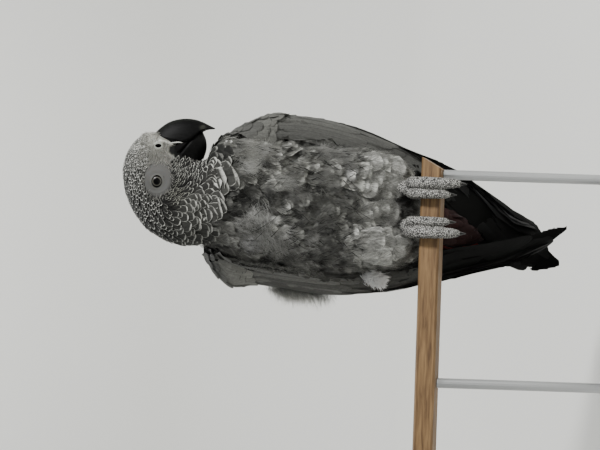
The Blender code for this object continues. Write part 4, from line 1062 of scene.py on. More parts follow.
def sheet_spines(grid, t0, z0, drift, lengths, stations, lift, tip_lift):
    """Spines of feathers that run down a wing's sheet, with their outward normals."""
    s = np.array([row[0] for row in stations])[None, :]
    z = np.maximum(z0[:, None] - lengths[:, None] * s, grid[2][0] + 0.5)
    t = np.clip(t0[:, None] + drift[:, None] * s, 0.0, 1.0)
    p = on_grid(grid, t, z)
    step = 0.04
    du = on_grid(grid, np.minimum(t + step, 1), z) - on_grid(grid, np.maximum(t - step, 0), z)
    dv = on_grid(grid, t, z - 3.0) - on_grid(grid, t, z + 3.0)
    outward = unit(np.cross(du, dv))
    outward = outward * grid[3]
    spine = p + outward * (lift[:, None] + (tip_lift - lift)[:, None] * s)[..., None]
    along = unit(np.gradient(spine, axis=1))
    return spine, laid(outward, along), along


def spaced_out(points, gap):
    """Which of the points, taken in turn, lie at least a gap from those taken before."""
    tree, free, kept = tree_of_points(points), np.ones(len(points), bool), []
    for i, point in enumerate(points):
        if free[i]:
            kept.append(i)
            for _, j, _ in tree.find_range(point, gap):
                free[j] = False
    return kept


def press_to_bed(sheet, bed):
    """Moves a wing's sheet along its normals until it lies just over the bed, evened out over its cells."""
    grid = sheet[0]
    outward = unit(np.cross(np.gradient(grid, axis=1), -np.gradient(grid, axis=0))) * sheet[3]
    tree, off = tree_of(bed), np.zeros(grid.shape[:2])
    for i, j in np.ndindex(*off.shape):
        hit = tree.ray_cast(Vector(grid[i, j] + outward[i, j] * 12), Vector(-outward[i, j]), 16.0)[0]
        off[i, j] = (np.array(hit) - grid[i, j]).dot(outward[i, j]) if hit else 0.0
    off = np.clip(off, -OFF_MOST, OFF_MOST) * np.clip((grid[..., 2] - 85) / 25, 0, 1)
    for _ in range(3):
        padded = np.pad(off, 1, mode="edge")
        off = sum(padded[a:a + grid.shape[0], b:b + grid.shape[1]] for a in range(3) for b in range(3)) / 9
    grid += outward * (off + 0.2)[..., None]


def row_roots(sheet, z, z_last, down, step, broad):
    """Where a row's feathers start: courses down the sheet, each set half a step from the last."""
    places, odd, ts = [], False, np.linspace(0, 1, 40)
    while z >= z_last:
        line = on_grid(sheet, ts, np.full(len(ts), z))
        arc = np.concatenate([[0], np.cumsum(np.linalg.norm(np.diff(line, axis=0), axis=1))])
        n = max(2, int(round(arc[-1] / step)))
        marks = (np.arange(n) + (0.5 if odd else 0.0)) / n * (arc[-1] - broad * 0.8) + broad * 0.4
        places += [(np.interp(mark, arc, ts), z) for mark in marks]
        z -= down
        odd = not odd
    return np.array(places).T


wing_down, _ = material("wing_down_dark", "0c0c0b", Roughness=0.9, Specular_IOR_Level=0.1)
for side, table in (("right", WING_RIGHT), ("left", WING_LEFT)):
    parts = [f"wing_{side}_{part}" for part in ("coverts", "secondaries", "primaries")]
    bed = remeshed(f"wing_{side}_bed", parts, 0.4, 1.3, 2)
    at = coords(bed.data) / MM
    put_coords(bed.data, at - normals(bed.data) * np.interp(at[:, 2], *BED_INSET.T)[:, None])
    bed.data.materials.append(wing_down)
    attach(bed, "root")
    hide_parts(*parts)
    bed_points, bed_normals = coords(bed.data) / MM, normals(bed.data)
    pick = rng.permutation(np.flatnonzero(bed_points[:, 2] > 140))
    kept = pick[spaced_out(bed_points[pick], LINING_GAP)]
    lining = bed_points[kept]
    way = np.array((0.0, 0.1, -1.0)) + 0.12 * rng.standard_normal((len(kept), 3))
    way = laid(way, bed_normals[kept])
    long = np.where(lining[:, 2] > 262, 6.5, 10.0) * rng.uniform(0.85, 1.15, len(kept))
    spine, normal, along = march(tree_of(bed), lining, way, long, SHAPES["broad"], np.full(len(kept), 0.2),
                                 rng.uniform(0.35, 0.7, len(kept)))
    shade = uneven(len(kept), 0.12)
    deep = blended(hue("454542"), hue("10100f"), (185 - lining[:, 2]) / 20)
    lay_vanes(f"wing_{side}_lining_feathers", spine, normal, along, 0.55 * long, long, "broad", 2,
              shade * deep, shade * deep * 1.6, np.full(len(kept), 0.4),
              bake_uv(lining, WINGS_MIDDLE), flight, camber=0.12)
    top = table[0][0]
    sheet = wing_grid(table)
    press_to_bed(sheet, bed)
    for row, z_first, z_last, down, step, long, broad, lift, vane, edge, rim_wide in WING_ROWS:
        shift = 0.0 if row in ("primaries", "secondaries") else COVERT_SHIFT[side]
        t0, z0 = row_roots(sheet, min(z_first + shift, top - 5.0), z_last + shift, down, step, broad)
        n = len(t0)
        z0 = z0 + rng.uniform(-1, 1, n) * down * 0.2
        if row in ("median", "lesser"):
            z0 = z0 + np.minimum(80 * (t0 - 0.42) ** 2, 6.5) - 1.0
        if row == "primaries":
            tips = table[-1][0] + 6 + 70 * np.abs(t0 - 0.45) ** 1.2 + rng.uniform(0, 6, n)
            lengths = z0 - tips
        else:
            lengths = long * (1 + 0.06 * rng.standard_normal(n))
        widths = broad * (1 + 0.06 * rng.standard_normal(n))
        if row == "lesser":
            shorter = np.interp(z0, (top - 14, top - 4), (1.0, 0.6))
            widths, lengths = widths * shorter, lengths * shorter
        drift = 0.05 * rng.standard_normal(n)
        shape = "broad" if long and long < 15 else "flight"
        lift0 = np.full(n, lift - (1.5 if row == "primaries" else 0.6)) + rng.uniform(-0.15, 0.15, n)
        lift1 = np.full(n, lift) + rng.uniform(-0.1, 0.6, n)
        spine, normal, along = sheet_spines(sheet, t0, z0, drift, lengths, SHAPES[shape], lift0, lift1)
        shade = uneven(n, 0.1)
        if side == "right" and row != "primaries":
            shade = shade * np.interp(z0, *SHOULDER_LIGHT.T)[:, None]
        # The left wing, turned from the lamp, is painted a little darker as shade.
        elif row != "primaries":
            shade = shade * 0.92
        lay_vanes(f"wing_{side}_{row}_feathers", spine, normal, along, widths, lengths, shape, 4,
                  shade * hue(vane), shade * hue(edge), np.full(n, rim_wide),
                  bake_uv(spine[:, 0], WINGS_MIDDLE), flight, camber=0.18)

# Wing tip: the left wing's worn last primaries, fanned out past the tail from one root, their ends
# broken square. Each lies a little over the one before it.
FAN_ROOT, FAN_WIDE, FAN_STEP = np.array((9.0, 82.0, 112.0)), 9.0, np.array((0, 0.25, 0))
FAN_TIPS = np.array(((-3.0, 92.0, 92.0), (-7.5, 92.8, 83.5), (-10.0, 93.3, 75.0), (-8.0, 93.8, 67.5),
                     (-3.0, 94.0, 61.5)))
n = len(FAN_TIPS)
share = np.array([row[0] for row in SHAPES["worn"]])[None, :, None]
spine = FAN_ROOT + (FAN_TIPS[:, None] - FAN_ROOT) * share + FAN_STEP * np.arange(n)[:, None, None]
along = unit(np.repeat(FAN_TIPS[:, None] - FAN_ROOT, share.shape[1], axis=1))
normal = unit(np.array((0.0, -1.0, 0.0)) + along * along[..., 1:2])
lay_vanes("wing_left_tip_feathers", spine, normal, along, np.full(n, FAN_WIDE),
          np.linalg.norm(FAN_TIPS - FAN_ROOT, axis=1), "worn", 8, np.tile(rgb("0d0d0c"), (n, 1)),
          np.tile(rgb("050505"), (n, 1)), np.full(n, 0.4), bake_uv(spine[:, 0], WINGS_MIDDLE), flight,
          camber=0.1, wobble=0.12)

# Wing edge: a pale fuzzy strip of loose barbs along the front of the folded wing, the flank's down that
# spills out behind it, and one white tuft low on the same wing. All of it is loose barbs.
EDGE_BARBS, FLANK_BARBS, WHITE_BARBS = 5200, 4200, 2600
right_sheet = wing_grid(WING_RIGHT)
edge_z = rng.uniform(216, 263, EDGE_BARBS)
edge_t = rng.uniform(0.0, 0.09, EDGE_BARBS)
root = on_grid(right_sheet, edge_t, edge_z) + 0.4 * rng.standard_normal((EDGE_BARBS, 3))
way = unit(np.array([0.25, -0.5, -0.8]) + 0.45 * rng.standard_normal((EDGE_BARBS, 3)))
up = unit(np.cross(way, rng.standard_normal((EDGE_BARBS, 3))))
bright = rng.uniform(0.6, 1.15, EDGE_BARBS)[:, None]
length = rng.uniform(1.5, 3.4, EDGE_BARBS)
lay_barbs("wing_right_edge_down", root, way, up, length, rng.uniform(0.1, 0.18, EDGE_BARBS), 0 * length,
          bright * hue("72726e"), bright * hue("b4b4ae"), bake_uv(root, WINGS_MIDDLE))

flank_z = rng.triangular(204, 236, 250, FLANK_BARBS)
root = on_grid(right_sheet, rng.uniform(0.45, 0.75, FLANK_BARBS), flank_z)
root = root + rng.standard_normal((FLANK_BARBS, 3))
way = unit(np.array([-0.9, 0.15, -0.35]) + 0.32 * rng.standard_normal((FLANK_BARBS, 3)))
up = unit(np.cross(way, np.array([0.2, 1.0, 0.1]) + 0.3 * rng.standard_normal((FLANK_BARBS, 3))))
length = rng.uniform(4.5, 12.0, FLANK_BARBS) * np.interp(flank_z, (204, 214, 240, 250), (0.5, 1, 1, 0.35))
bright = rng.uniform(0.7, 1.15, FLANK_BARBS)[:, None]
lay_barbs("flank_down", root, way, up, length, rng.uniform(0.09, 0.18, FLANK_BARBS),
          -0.2 * length * rng.random(FLANK_BARBS), bright * hue("a4a4a0"), bright * hue("e2e2dc"),
          bake_uv(root, WINGS_MIDDLE))

start, end = on_grid(right_sheet, 0.08, 188.0) + (1.5, -1.0, 0), np.array((-19.5, 20.0, 176.5))
share = rng.random(WHITE_BARBS)
root = start + (end - start) * share[:, None] * 0.72
root = root + 1.3 * rng.standard_normal((WHITE_BARBS, 3)) + (0, -3.0, 0)
spread_x = rng.uniform(-1, 1, WHITE_BARBS)[:, None] * np.array([[1.0, -0.3, -0.6]])
way = (end - start) / np.linalg.norm(end - start) + 0.75 * spread_x
way = unit(way + 0.1 * rng.standard_normal((WHITE_BARBS, 3)))
up = unit(np.cross(way, np.array([1.0, 0.0, 0.3])))
length = rng.uniform(3.5, 6.5, WHITE_BARBS)
lay_barbs("white_tuft", root, way, up, length, rng.uniform(0.25, 0.75, WHITE_BARBS), -0.05 * length,
          np.tile(rgb("fafaf8"), (WHITE_BARBS, 1)), np.tile(rgb("ffffff"), (WHITE_BARBS, 1)),
          bake_uv(root, WINGS_MIDDLE))

# Tail: short, square and scarlet, closed to a narrow fan behind the wing tips. Its reds, of bed and feathers
# alike, are painted dark as the shade it lies in. A row of twelve stiff feathers lies over its bed and
# another under it. Its line is given in the body's own turned frame.
BODY = np.array([25.5, 5.0, 158.0])
YAW = math.radians(12.0)
TAIL_LINE = ((0.0, 53.5, -0.5), (9.0, 102.0, -77.0))
TAIL_FEATHERS, TAIL_WIDE, TAIL_MIDDLE = 12, 14.0, (30.0, 60.0, 190.0)
# The bed is sunk into its solid, and its end drawn back from this share of the length on.
TAIL_SINK, TAIL_BED_LONG = 1.1, 0.92


def turned(point):
    """A point of the body frame in the world frame."""
    x, y, z = point
    return BODY + np.array([x * math.cos(YAW) - y * math.sin(YAW), x * math.sin(YAW) + y * math.cos(YAW), z])


tail_bed = remeshed("tail_bed", ["tail"], 0.3, 1.0, 2)
at = coords(tail_bed.data) / MM - normals(tail_bed.data) * TAIL_SINK
start, end = turned(TAIL_LINE[0]), turned(TAIL_LINE[1])
tail_long = np.linalg.norm(end - start)
way_down = (end - start) / tail_long
past = (at - start) @ way_down - TAIL_BED_LONG * tail_long
put_coords(tail_bed.data, at - np.maximum(past, 0)[:, None] * 0.9 * way_down)
shaft_red, _ = material("tail_shaft_red", "4a120e", Roughness=0.8)
tail_bed.data.materials.append(shaft_red)
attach(tail_bed, "root")
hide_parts("tail")
across = np.array([math.cos(YAW), math.sin(YAW), 0.0])
out_back = np.cross(across, way_down)
tail_tree = tree_of(nodes["tail"])
n = TAIL_FEATHERS
offs = np.linspace(-0.8, 0.8, n)
# The middle feathers of the fan lie over those at its sides.
heaped = 0.3 + 0.1 * (n / 2 - np.abs(np.arange(n) - n / 2))
for face, sign in (("over", 1), ("under", -1)):
    from_out = start + across * (offs[:, None] * 8.0) + out_back * sign * 40 + way_down * 3.0
    hits = [tail_tree.ray_cast(Vector(p), Vector(-out_back * sign))[0] or tail_tree.find_nearest(Vector(p))[0]
            for p in from_out]
    long = tail_long * (0.98 - 0.04 * np.abs(offs))
    way = unit(way_down + across * offs[:, None] * 0.05)
    spine, normal, along = march(tail_tree, np.array(hits), way, long, SHAPES["flight"], np.full(n, -0.2),
                                 heaped)
    shade = uneven(n, 0.1, 0.7, 1.3)
    lay_vanes(f"tail_{face}_feathers", spine, normal, along, np.full(n, TAIL_WIDE), long, "flight", 4,
              shade * hue("6a1813"), shade * hue("3a0c0a"), np.full(n, 0.4),
              bake_uv(np.array(hits), TAIL_MIDDLE), flight, camber=0.1)

# Undertail: loose soft coverts that hang over the root of the tail, red with a pinkish grey top. The red,
# of bed and feathers alike, is painted dark as the shade under the body. The coverts are scattered over a
# bed that is sunk a little into its solid.
UNDERTAIL, UNDERTAIL_SINK, UNDERTAIL_MIDDLE = 320, 1.4, (25.0, 60.0, 170.0)
vent = remeshed("vent_bed", ["undertail_coverts"], 0.3, 0.9, 2)
put_coords(vent.data, coords(vent.data) / MM - normals(vent.data) * UNDERTAIL_SINK)
vent_down, _ = material("vent_down_red", "200806", Roughness=0.9)
vent.data.materials.append(vent_down)
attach(vent, "root")
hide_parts("undertail_coverts")
vent_tree = tree_of(vent)
pick = rng.permutation(len(vent.data.vertices))[:UNDERTAIL]
roots = coords(vent.data)[pick] / MM
way = unit(np.array([0.02, 0.55, -0.83]) + 0.12 * rng.standard_normal((len(roots), 3)))
lengths = rng.uniform(11, 17, len(roots))
spine, normal, along = march(vent_tree, roots, way, lengths, SHAPES["broad"], np.full(len(roots), 0.1),
                             rng.uniform(1.0, 2.2, len(roots)))
shade = uneven(len(roots), 0.15, 0.6, 1.4)
red = blended(hue("1c0605"), hue("42312e"), (roots[:, 2] - 137) / 10)
lay_vanes("undertail_feathers", spine, normal, along, rng.uniform(3.5, 6, len(roots)), lengths, "broad", 4,
          shade * red, shade * red * 1.2, np.full(len(roots), 0.6), bake_uv(roots, UNDERTAIL_MIDDLE),
          contour)

# Bill: one hooked horn over a short scoop, near black and flaky along its ridge, where it is paler:
# partly wear, partly a painted highlight. Each is a thin shell, hollow on the mouth's side, its root set
# under the cere.
# Stations from root to tip: outer line (x, z), cutting edge (x, z), half width. The fold of skin at the
# gape and the mouth's dark lining are lofted in the same way.
UPPER_HORN = (((58.0, 316.4), (56.0, 304.5), 7.4), ((63.3, 316.6), (60.6, 302.0), 8.0),
              ((66.0, 315.2), (60.0, 299.0), 8.3), ((69.1, 311.9), (60.4, 296.2), 8.3),
              ((71.9, 307.8), (62.0, 293.6), 8.0), ((73.6, 303.0), (64.2, 291.3), 7.3),
              ((74.3, 297.8), (66.3, 289.2), 6.3), ((73.9, 292.5), (67.8, 286.9), 5.0),
              ((72.5, 287.9), (68.5, 284.2), 3.4), ((70.4, 283.3), (68.6, 281.8), 1.6),
              ((69.4, 280.9), (68.9, 280.6), 0.3))
LOWER_HORN = (((45.5, 288.5), (46.5, 303.5), 7.4), ((50.8, 287.0), (51.2, 301.6), 8.0),
              ((54.9, 285.7), (54.7, 298.9), 8.1), ((58.7, 285.3), (58.3, 296.0), 7.9),
              ((62.4, 285.9), (61.9, 293.4), 6.9), ((65.4, 287.2), (65.0, 291.2), 4.8),
              ((67.1, 288.1), (66.9, 289.4), 1.2))
GAPE_FOLD = (((50.0, 308.0), (48.0, 304.6), 7.5), ((54.0, 308.0), (51.4, 303.0), 8.7),
             ((57.5, 307.0), (54.9, 300.1), 8.9), ((60.0, 303.5), (58.2, 297.3), 8.5),
             ((62.4, 300.0), (61.6, 294.9), 7.2), ((65.4, 296.2), (64.6, 292.4), 5.5),
             ((67.6, 293.2), (66.9, 290.6), 2.8))
MOUTH_LINING = (((46.0, 292.0), (48.0, 304.0), 6.6), ((52.0, 290.5), (56.0, 303.5), 6.9),
                ((57.0, 288.5), (62.0, 299.5), 6.4), ((61.5, 287.5), (66.0, 294.5), 5.2),
                ((65.0, 288.2), (68.0, 291.0), 2.8))
# Points along a horn, up each side of its arch, and across its hollow.
HORN_STATIONS, HORN_SIDE, HORN_HOLLOW = 56, 12, 8


def tube_faces(rings, sides):
    """Faces of a tube through rings of points, capped at both ends."""
    faces = [(i * sides + j, i * sides + (j + 1) % sides, (i + 1) * sides + (j + 1) % sides,
              (i + 1) * sides + j) for i in range(rings - 1) for j in range(sides)]
    return faces + [tuple(range(sides))[::-1], tuple(range((rings - 1) * sides, rings * sides))]


def faced_out(obj):
    """Turns every face of a closed mesh outward."""
    bm = bmesh.new()
    bm.from_mesh(obj.data)
    bmesh.ops.recalc_face_normals(bm, faces=bm.faces)
    bm.to_mesh(obj.data)
    bm.free()
    obj.data.shade_smooth()


def horn_shell(name, stations, mat, hollow):
    """A lofted horn: an arch between its outer line and its two edges, closed by a hollow underside."""
    rows = smooth_rows([(*outer, *edge, half) for outer, edge, half in stations], HORN_STATIONS)
    rows[:, 4] = np.maximum(rows[:, 4], 0.15)
    outer, edge, half = rows[:, None, 0:2], rows[:, None, 2:4], rows[:, 4]
    arch = np.linspace(-1, 1, 2 * HORN_SIDE + 1)
    drop = 1 - np.cos(np.abs(arch) * math.pi / 2)
    aside = np.sign(arch) * np.sin(np.abs(arch) * math.pi / 2) ** 0.85
    inside = np.linspace(1, -1, HORN_HOLLOW + 2)[1:-1]
    share = np.concatenate([drop, 1 - hollow * (1 - inside ** 2)])
    reach = np.concatenate([aside, inside * 0.86])
    flat = outer + (edge - outer) * share[None, :, None]
    y = HEAD_Y + half[:, None] * reach[None, :]
    verts = np.stack([flat[..., 0], y, flat[..., 1]], -1)
    ring = verts.shape[1]
    verts = verts.reshape(-1, 3)
    obj = mesh_object(name, verts * MM, tube_faces(HORN_STATIONS, ring), mat)
    faced_out(obj)
    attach(obj, "root")
    from_ridge = np.abs(np.concatenate([arch, inside * 0 + 1]))
    return obj, verts, np.tile(from_ridge, HORN_STATIONS)


horn, shader = material("bill_horn_wear_and_highlight", Roughness=0.5, Specular_IOR_Level=0.08)
wear_and_highlight = node(horn, "VertexColor", layer_name="markings")
spot = node(horn, "TexCoord").outputs["Object"]
grain = node(horn, "TexNoise", {"Vector": spot, "Scale": 600.0, "Detail": 6.0, "Roughness": 0.7})
level = node(horn, "MapRange", {0: grain.outputs[0], 1: 0.3, 2: 0.7, 3: 0.55, 4: 1.6})
lines = node(horn, "Mapping", {"Vector": spot, "Rotation": (0.0, 0.5, 0.0), "Scale": (900.0, 300.0, 160.0)})
flakes = node(horn, "TexNoise", {"Vector": lines.outputs[0], "Scale": 1.0, "Detail": 4.0, "Roughness": 0.6})
flaky = node(horn, "MapRange", {0: flakes.outputs[0], 1: 0.35, 2: 0.72, 3: 0.75, 4: 1.6})
value = node(horn, "Math", {0: level.outputs[0], 1: flaky.outputs[0]}, operation="MULTIPLY")
colour = node(horn, "HueSaturation", {"Value": value.outputs[0], "Color": wear_and_highlight.outputs["Color"]})
bump = node(horn, "Bump", {"Height": flakes.outputs[0], "Strength": 0.35, "Distance": 0.0004})
wired(horn, shader, Base_Color=colour.outputs[0], Normal=bump.outputs[0])
# How pale the ridge is by height, partly wear and partly painted highlight, and the pale chipped notch
# behind the tip, in x and z.
RIDGE_WEAR_AND_HIGHLIGHT = np.array(((281, 0.5), (287, 0.9), (296, 1), (312, 0.8), (317, 0.3)))
NOTCH_AT, HORN_BLACK = (68.6, 287.6), hue("060606")
upper, at, from_ridge = horn_shell("bill_upper_horn", UPPER_HORN, horn, 0.3)
# Paler along the ridge: partly wear, partly a painted highlight.
ridge_wear_and_highlight = np.clip(1.15 - from_ridge / 0.42, 0, 1) * np.interp(at[:, 2], *RIDGE_WEAR_AND_HIGHLIGHT.T)
shade = blended(np.tile(HORN_BLACK, (len(at), 1)), hue("1f201d"), ridge_wear_and_highlight)
notch = np.hypot(at[:, 0] - NOTCH_AT[0], at[:, 2] - NOTCH_AT[1])
shade = blended(shade, hue("454640"), 0.8 - notch / 3.0)
paint(upper.data, blended(shade, HORN_BLACK, (from_ridge - 0.85) / 0.15))
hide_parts("bill_upper")
lower, at, from_ridge = horn_shell("bill_lower_horn", LOWER_HORN, horn, 0.35)
paint(lower.data, blended(np.tile(rgb("050505"), (len(at), 1)), hue("1a1917"),
                          (from_ridge - 0.9) * 5 * (at[:, 0] > 57)))
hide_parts("bill_lower")
fold_skin, _ = material("gape_skin_dark", "090808", Roughness=0.7, Specular_IOR_Level=0.05)
fold = horn_shell("gape_fold", GAPE_FOLD, fold_skin, -0.1)[0]
mouth_dark, _ = material("mouth_lining_dark", "050404", Roughness=0.7, Specular_IOR_Level=0.1)
mouth = horn_shell("mouth_lining", MOUTH_LINING, mouth_dark, -0.1)[0]

# Cere edge: a thin pale roll of skin on each side, standing up against the root of the upper bill. It
# tapers to nothing at both ends.
CERE_ROLL = ((58.6, 307.6), (59.3, 304.6), (59.7, 301.6), (59.6, 299.0))
ROLL_THICK, ROLL_SIDES, ROLL_STATIONS, HORN_HALF = 0.42, 8, 12, 7.75


def side_hit(x, z, sign):
    """The skin's point and normal met from one side of the head."""
    return skin_tree.ray_cast(Vector((x, HEAD_Y + sign * 30, z)), Vector((0, -sign, 0)))[:2]


for side, sign in (("right", -1), ("left", 1)):
    verts = []
    line = smooth_rows(CERE_ROLL, ROLL_STATIONS)
    for k, (x, z) in enumerate(line):
        hit, _ = side_hit(x, z, sign)
        out_y = HEAD_Y + sign * max(abs(hit.y - HEAD_Y) if hit else 0.0, HORN_HALF)
        thick = ROLL_THICK * math.sin(math.pi * (k + 1) / (ROLL_STATIONS + 1)) ** 0.4
        verts += [(x + thick * math.cos(a), out_y + thick * math.sin(a), z)
                  for a in np.linspace(0, 2 * math.pi, ROLL_SIDES, endpoint=False)]
    faces = tube_faces(ROLL_STATIONS, ROLL_SIDES)
    roll = mesh_object(f"cere_roll_{side}", np.array(verts) * MM, faces, hide)
    faced_out(roll)
    paint(roll.data, rgb("c4c3bc"))
    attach(roll, "root")

# Nostrils: a round hole in the swollen bare cere on each side, with a soft rim. The rim is the hide's,
# and the hole is a shallow floor just inside it, painted black as the shade deep in the hole.
NOSTRIL, NOSTRIL_HALF, NOSTRIL_SIDES = (57.0, 312.5), (1.15, 1.75), 28
# Across the rim: how far out from the opening's edge, and how high over the skin. Inside the fifth ring
# it is painted black, as painted shade.
NOSTRIL_PROFILE = ((1.6, -0.4), (1.2, 0.05), (0.8, 0.35), (0.4, 0.5), (0.1, 0.5), (-0.05, 0.4),
                   (-0.15, 0.25), (-0.5, 0.16), (-1.0, 0.16))
NOSTRIL_SHADE_RING, NOSTRIL_FLOOR, NOSTRIL_DEEP = 4, 0.16, 2.2
nostril_painted_shade, _ = material("nostril_painted_shade", "020202", Roughness=0.9, Specular_IOR_Level=0.0)
for side, sign in (("right", -1), ("left", 1)):
    hit, up = side_hit(*NOSTRIL, sign)
    across = np.array(Vector((0, 0, 1)).cross(up).normalized()) * -sign
    rise = np.cross(np.array(up), across) * sign
    rise = rise if rise[2] > 0 else -rise
    verts, faces, mats = [], [], []
    for out_by, high in NOSTRIL_PROFILE:
        for i in range(NOSTRIL_SIDES):
            a = 2 * math.pi * i / NOSTRIL_SIDES
            verts.append(np.array(hit) + across * (NOSTRIL_HALF[0] + out_by) * math.cos(a)
                         + rise * (NOSTRIL_HALF[1] + out_by) * math.sin(a) + np.array(up) * high)
    verts.append(np.array(hit) + np.array(up) * NOSTRIL_FLOOR)
    verts.append(np.array(hit) - np.array(up) * NOSTRIL_DEEP)
    last = (len(NOSTRIL_PROFILE) - 1) * NOSTRIL_SIDES
    for i in range(NOSTRIL_SIDES):
        j = (i + 1) % NOSTRIL_SIDES
        for k in range(len(NOSTRIL_PROFILE) - 1):
            a, b = k * NOSTRIL_SIDES, (k + 1) * NOSTRIL_SIDES
            faces.append((a + i, a + j, b + j, b + i))
            mats.append(int(k >= NOSTRIL_SHADE_RING))
        faces.append((last + i, last + j, len(verts) - 2))
        mats.append(1)
        faces.append((j, i, len(verts) - 1))
        mats.append(0)
    rim = mesh_object(f"nostril_{side}", [v * MM for v in verts], faces, hide, nostril_painted_shade)
    rim.data.polygons.foreach_set("material_index", mats)
    faced_out(rim)
    paint(rim.data, rgb("8b8a83"))
    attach(rim, "root")

# Bristles: fine pale feathers, little more than shafts, on the lores and round the cere, and thinner
# along the edge of the bare patch. They lie back from the bill, and none grows in the nostril.
BRISTLES = 7800
face_points, face_normals = coords(skin_mesh) / MM, normals(skin_mesh)
x, y, z = face_points.T
front = (x > 46) & (z > 303.5) & (z < 322.5) & (x + (z - 300) * 0.05 < 66)
far_gape = np.linalg.norm(face_points[:, [0, 2]] - GAPE_FROM, axis=1) > GAPE_WIDE + 1.6
hole = np.hypot((x - NOSTRIL[0] - 0.9) / 2.9, (z - NOSTRIL[1]) / 2.8) > 1
line_x = np.interp(z, *ROOT_LINE.T)
thick_here = np.clip((x - 45) / 6, 0, 1) * (front & far_gape & hole & ((x < line_x - 0.6) | (z > 313)))
nude_here = bare(face_points)
thick_here = thick_here + 0.45 * ((nude_here > 0.02) & (nude_here < 0.98) & (x < 49) & (z > 301))
pick = rng.choice(len(x), BRISTLES, p=thick_here / thick_here.sum())
root = face_points[pick] + 0.5 * rng.standard_normal((BRISTLES, 3))
up = face_normals[pick]
flow = np.stack([-0.95 + 0 * x, 0 * x, np.clip((z - 309) / 8, -0.9, 0.9)], 1)[pick]
flow = unit(flow - up * (flow * up).sum(1, keepdims=True) + 0.16 * rng.standard_normal((BRISTLES, 3)))
length = rng.uniform(1.3, 2.6, BRISTLES)
bright = rng.uniform(0.6, 1.15, BRISTLES)[:, None]
brow = np.exp(-((x[pick] - BROW_AT[0]) / 4.5) ** 2 - ((z[pick] - BROW_AT[1]) / 3.4) ** 2)
bright = bright * (1 + 0.9 * brow)[:, None]
lay_barbs("face_bristles", root, unit(flow + up * 0.08), up, length, rng.uniform(0.12, 0.2, BRISTLES),
          length * 0.02, bright * hue("7a7973"), bright * hue("b8b7b0"), bake_uv(root, BODY_MIDDLE))

# Eyes: glass balls, dark and wet, with a wide pupil in a narrow pale ring. Thin creased lids of skin are
# drawn tight over them, and their outer edge runs out flush into the hide.
EYE_OUT, EYE_RADIUS, EYE_SIDES = 13.3, 5.6, 40
# Rings of the ball's front: radius, and the material of the band that ends there (pupil, iris or ball).
# The rings of its back are given by angle.
EYE_RINGS = ((0.8, 0), (1.5, 0), (2.0, 0), (2.15, 1), (2.7, 1), (3.2, 2), (4.2, 2), (5.2, 2))
EYE_BACK = (90, 120, 150)
# Half sizes of the opening, outer radius, radius where the lids meet the hide, height over the ball, and
# depth. Then how their rings spread, how far apart they crease, and how sharply they leave the ball.
OPENING = (3.5, 2.85)
LID_RINGS, LID_SIDES, LID_OUT, LID_SEAT, LID_OFF, LID_DEEP = 34, 80, 8.6, 7.0, 0.42, 1.2
LID_SPREAD, LID_CREASE, LID_JOIN = 1.3, 0.85, 2.2
pupil, _ = material("pupil_black_wet", "030303", Roughness=0.2, Specular_IOR_Level=0.15)
iris, _ = material("iris_straw_wet", "484741", Roughness=0.3, Specular_IOR_Level=0.15)
ball, _ = material("eyeball_dark_wet", "0c0b0a", Roughness=0.25, Specular_IOR_Level=0.1)


def faced(face, sign):
    """A face as it is on the right side, and turned round for the left."""
    return face[::-1] if sign > 0 else face


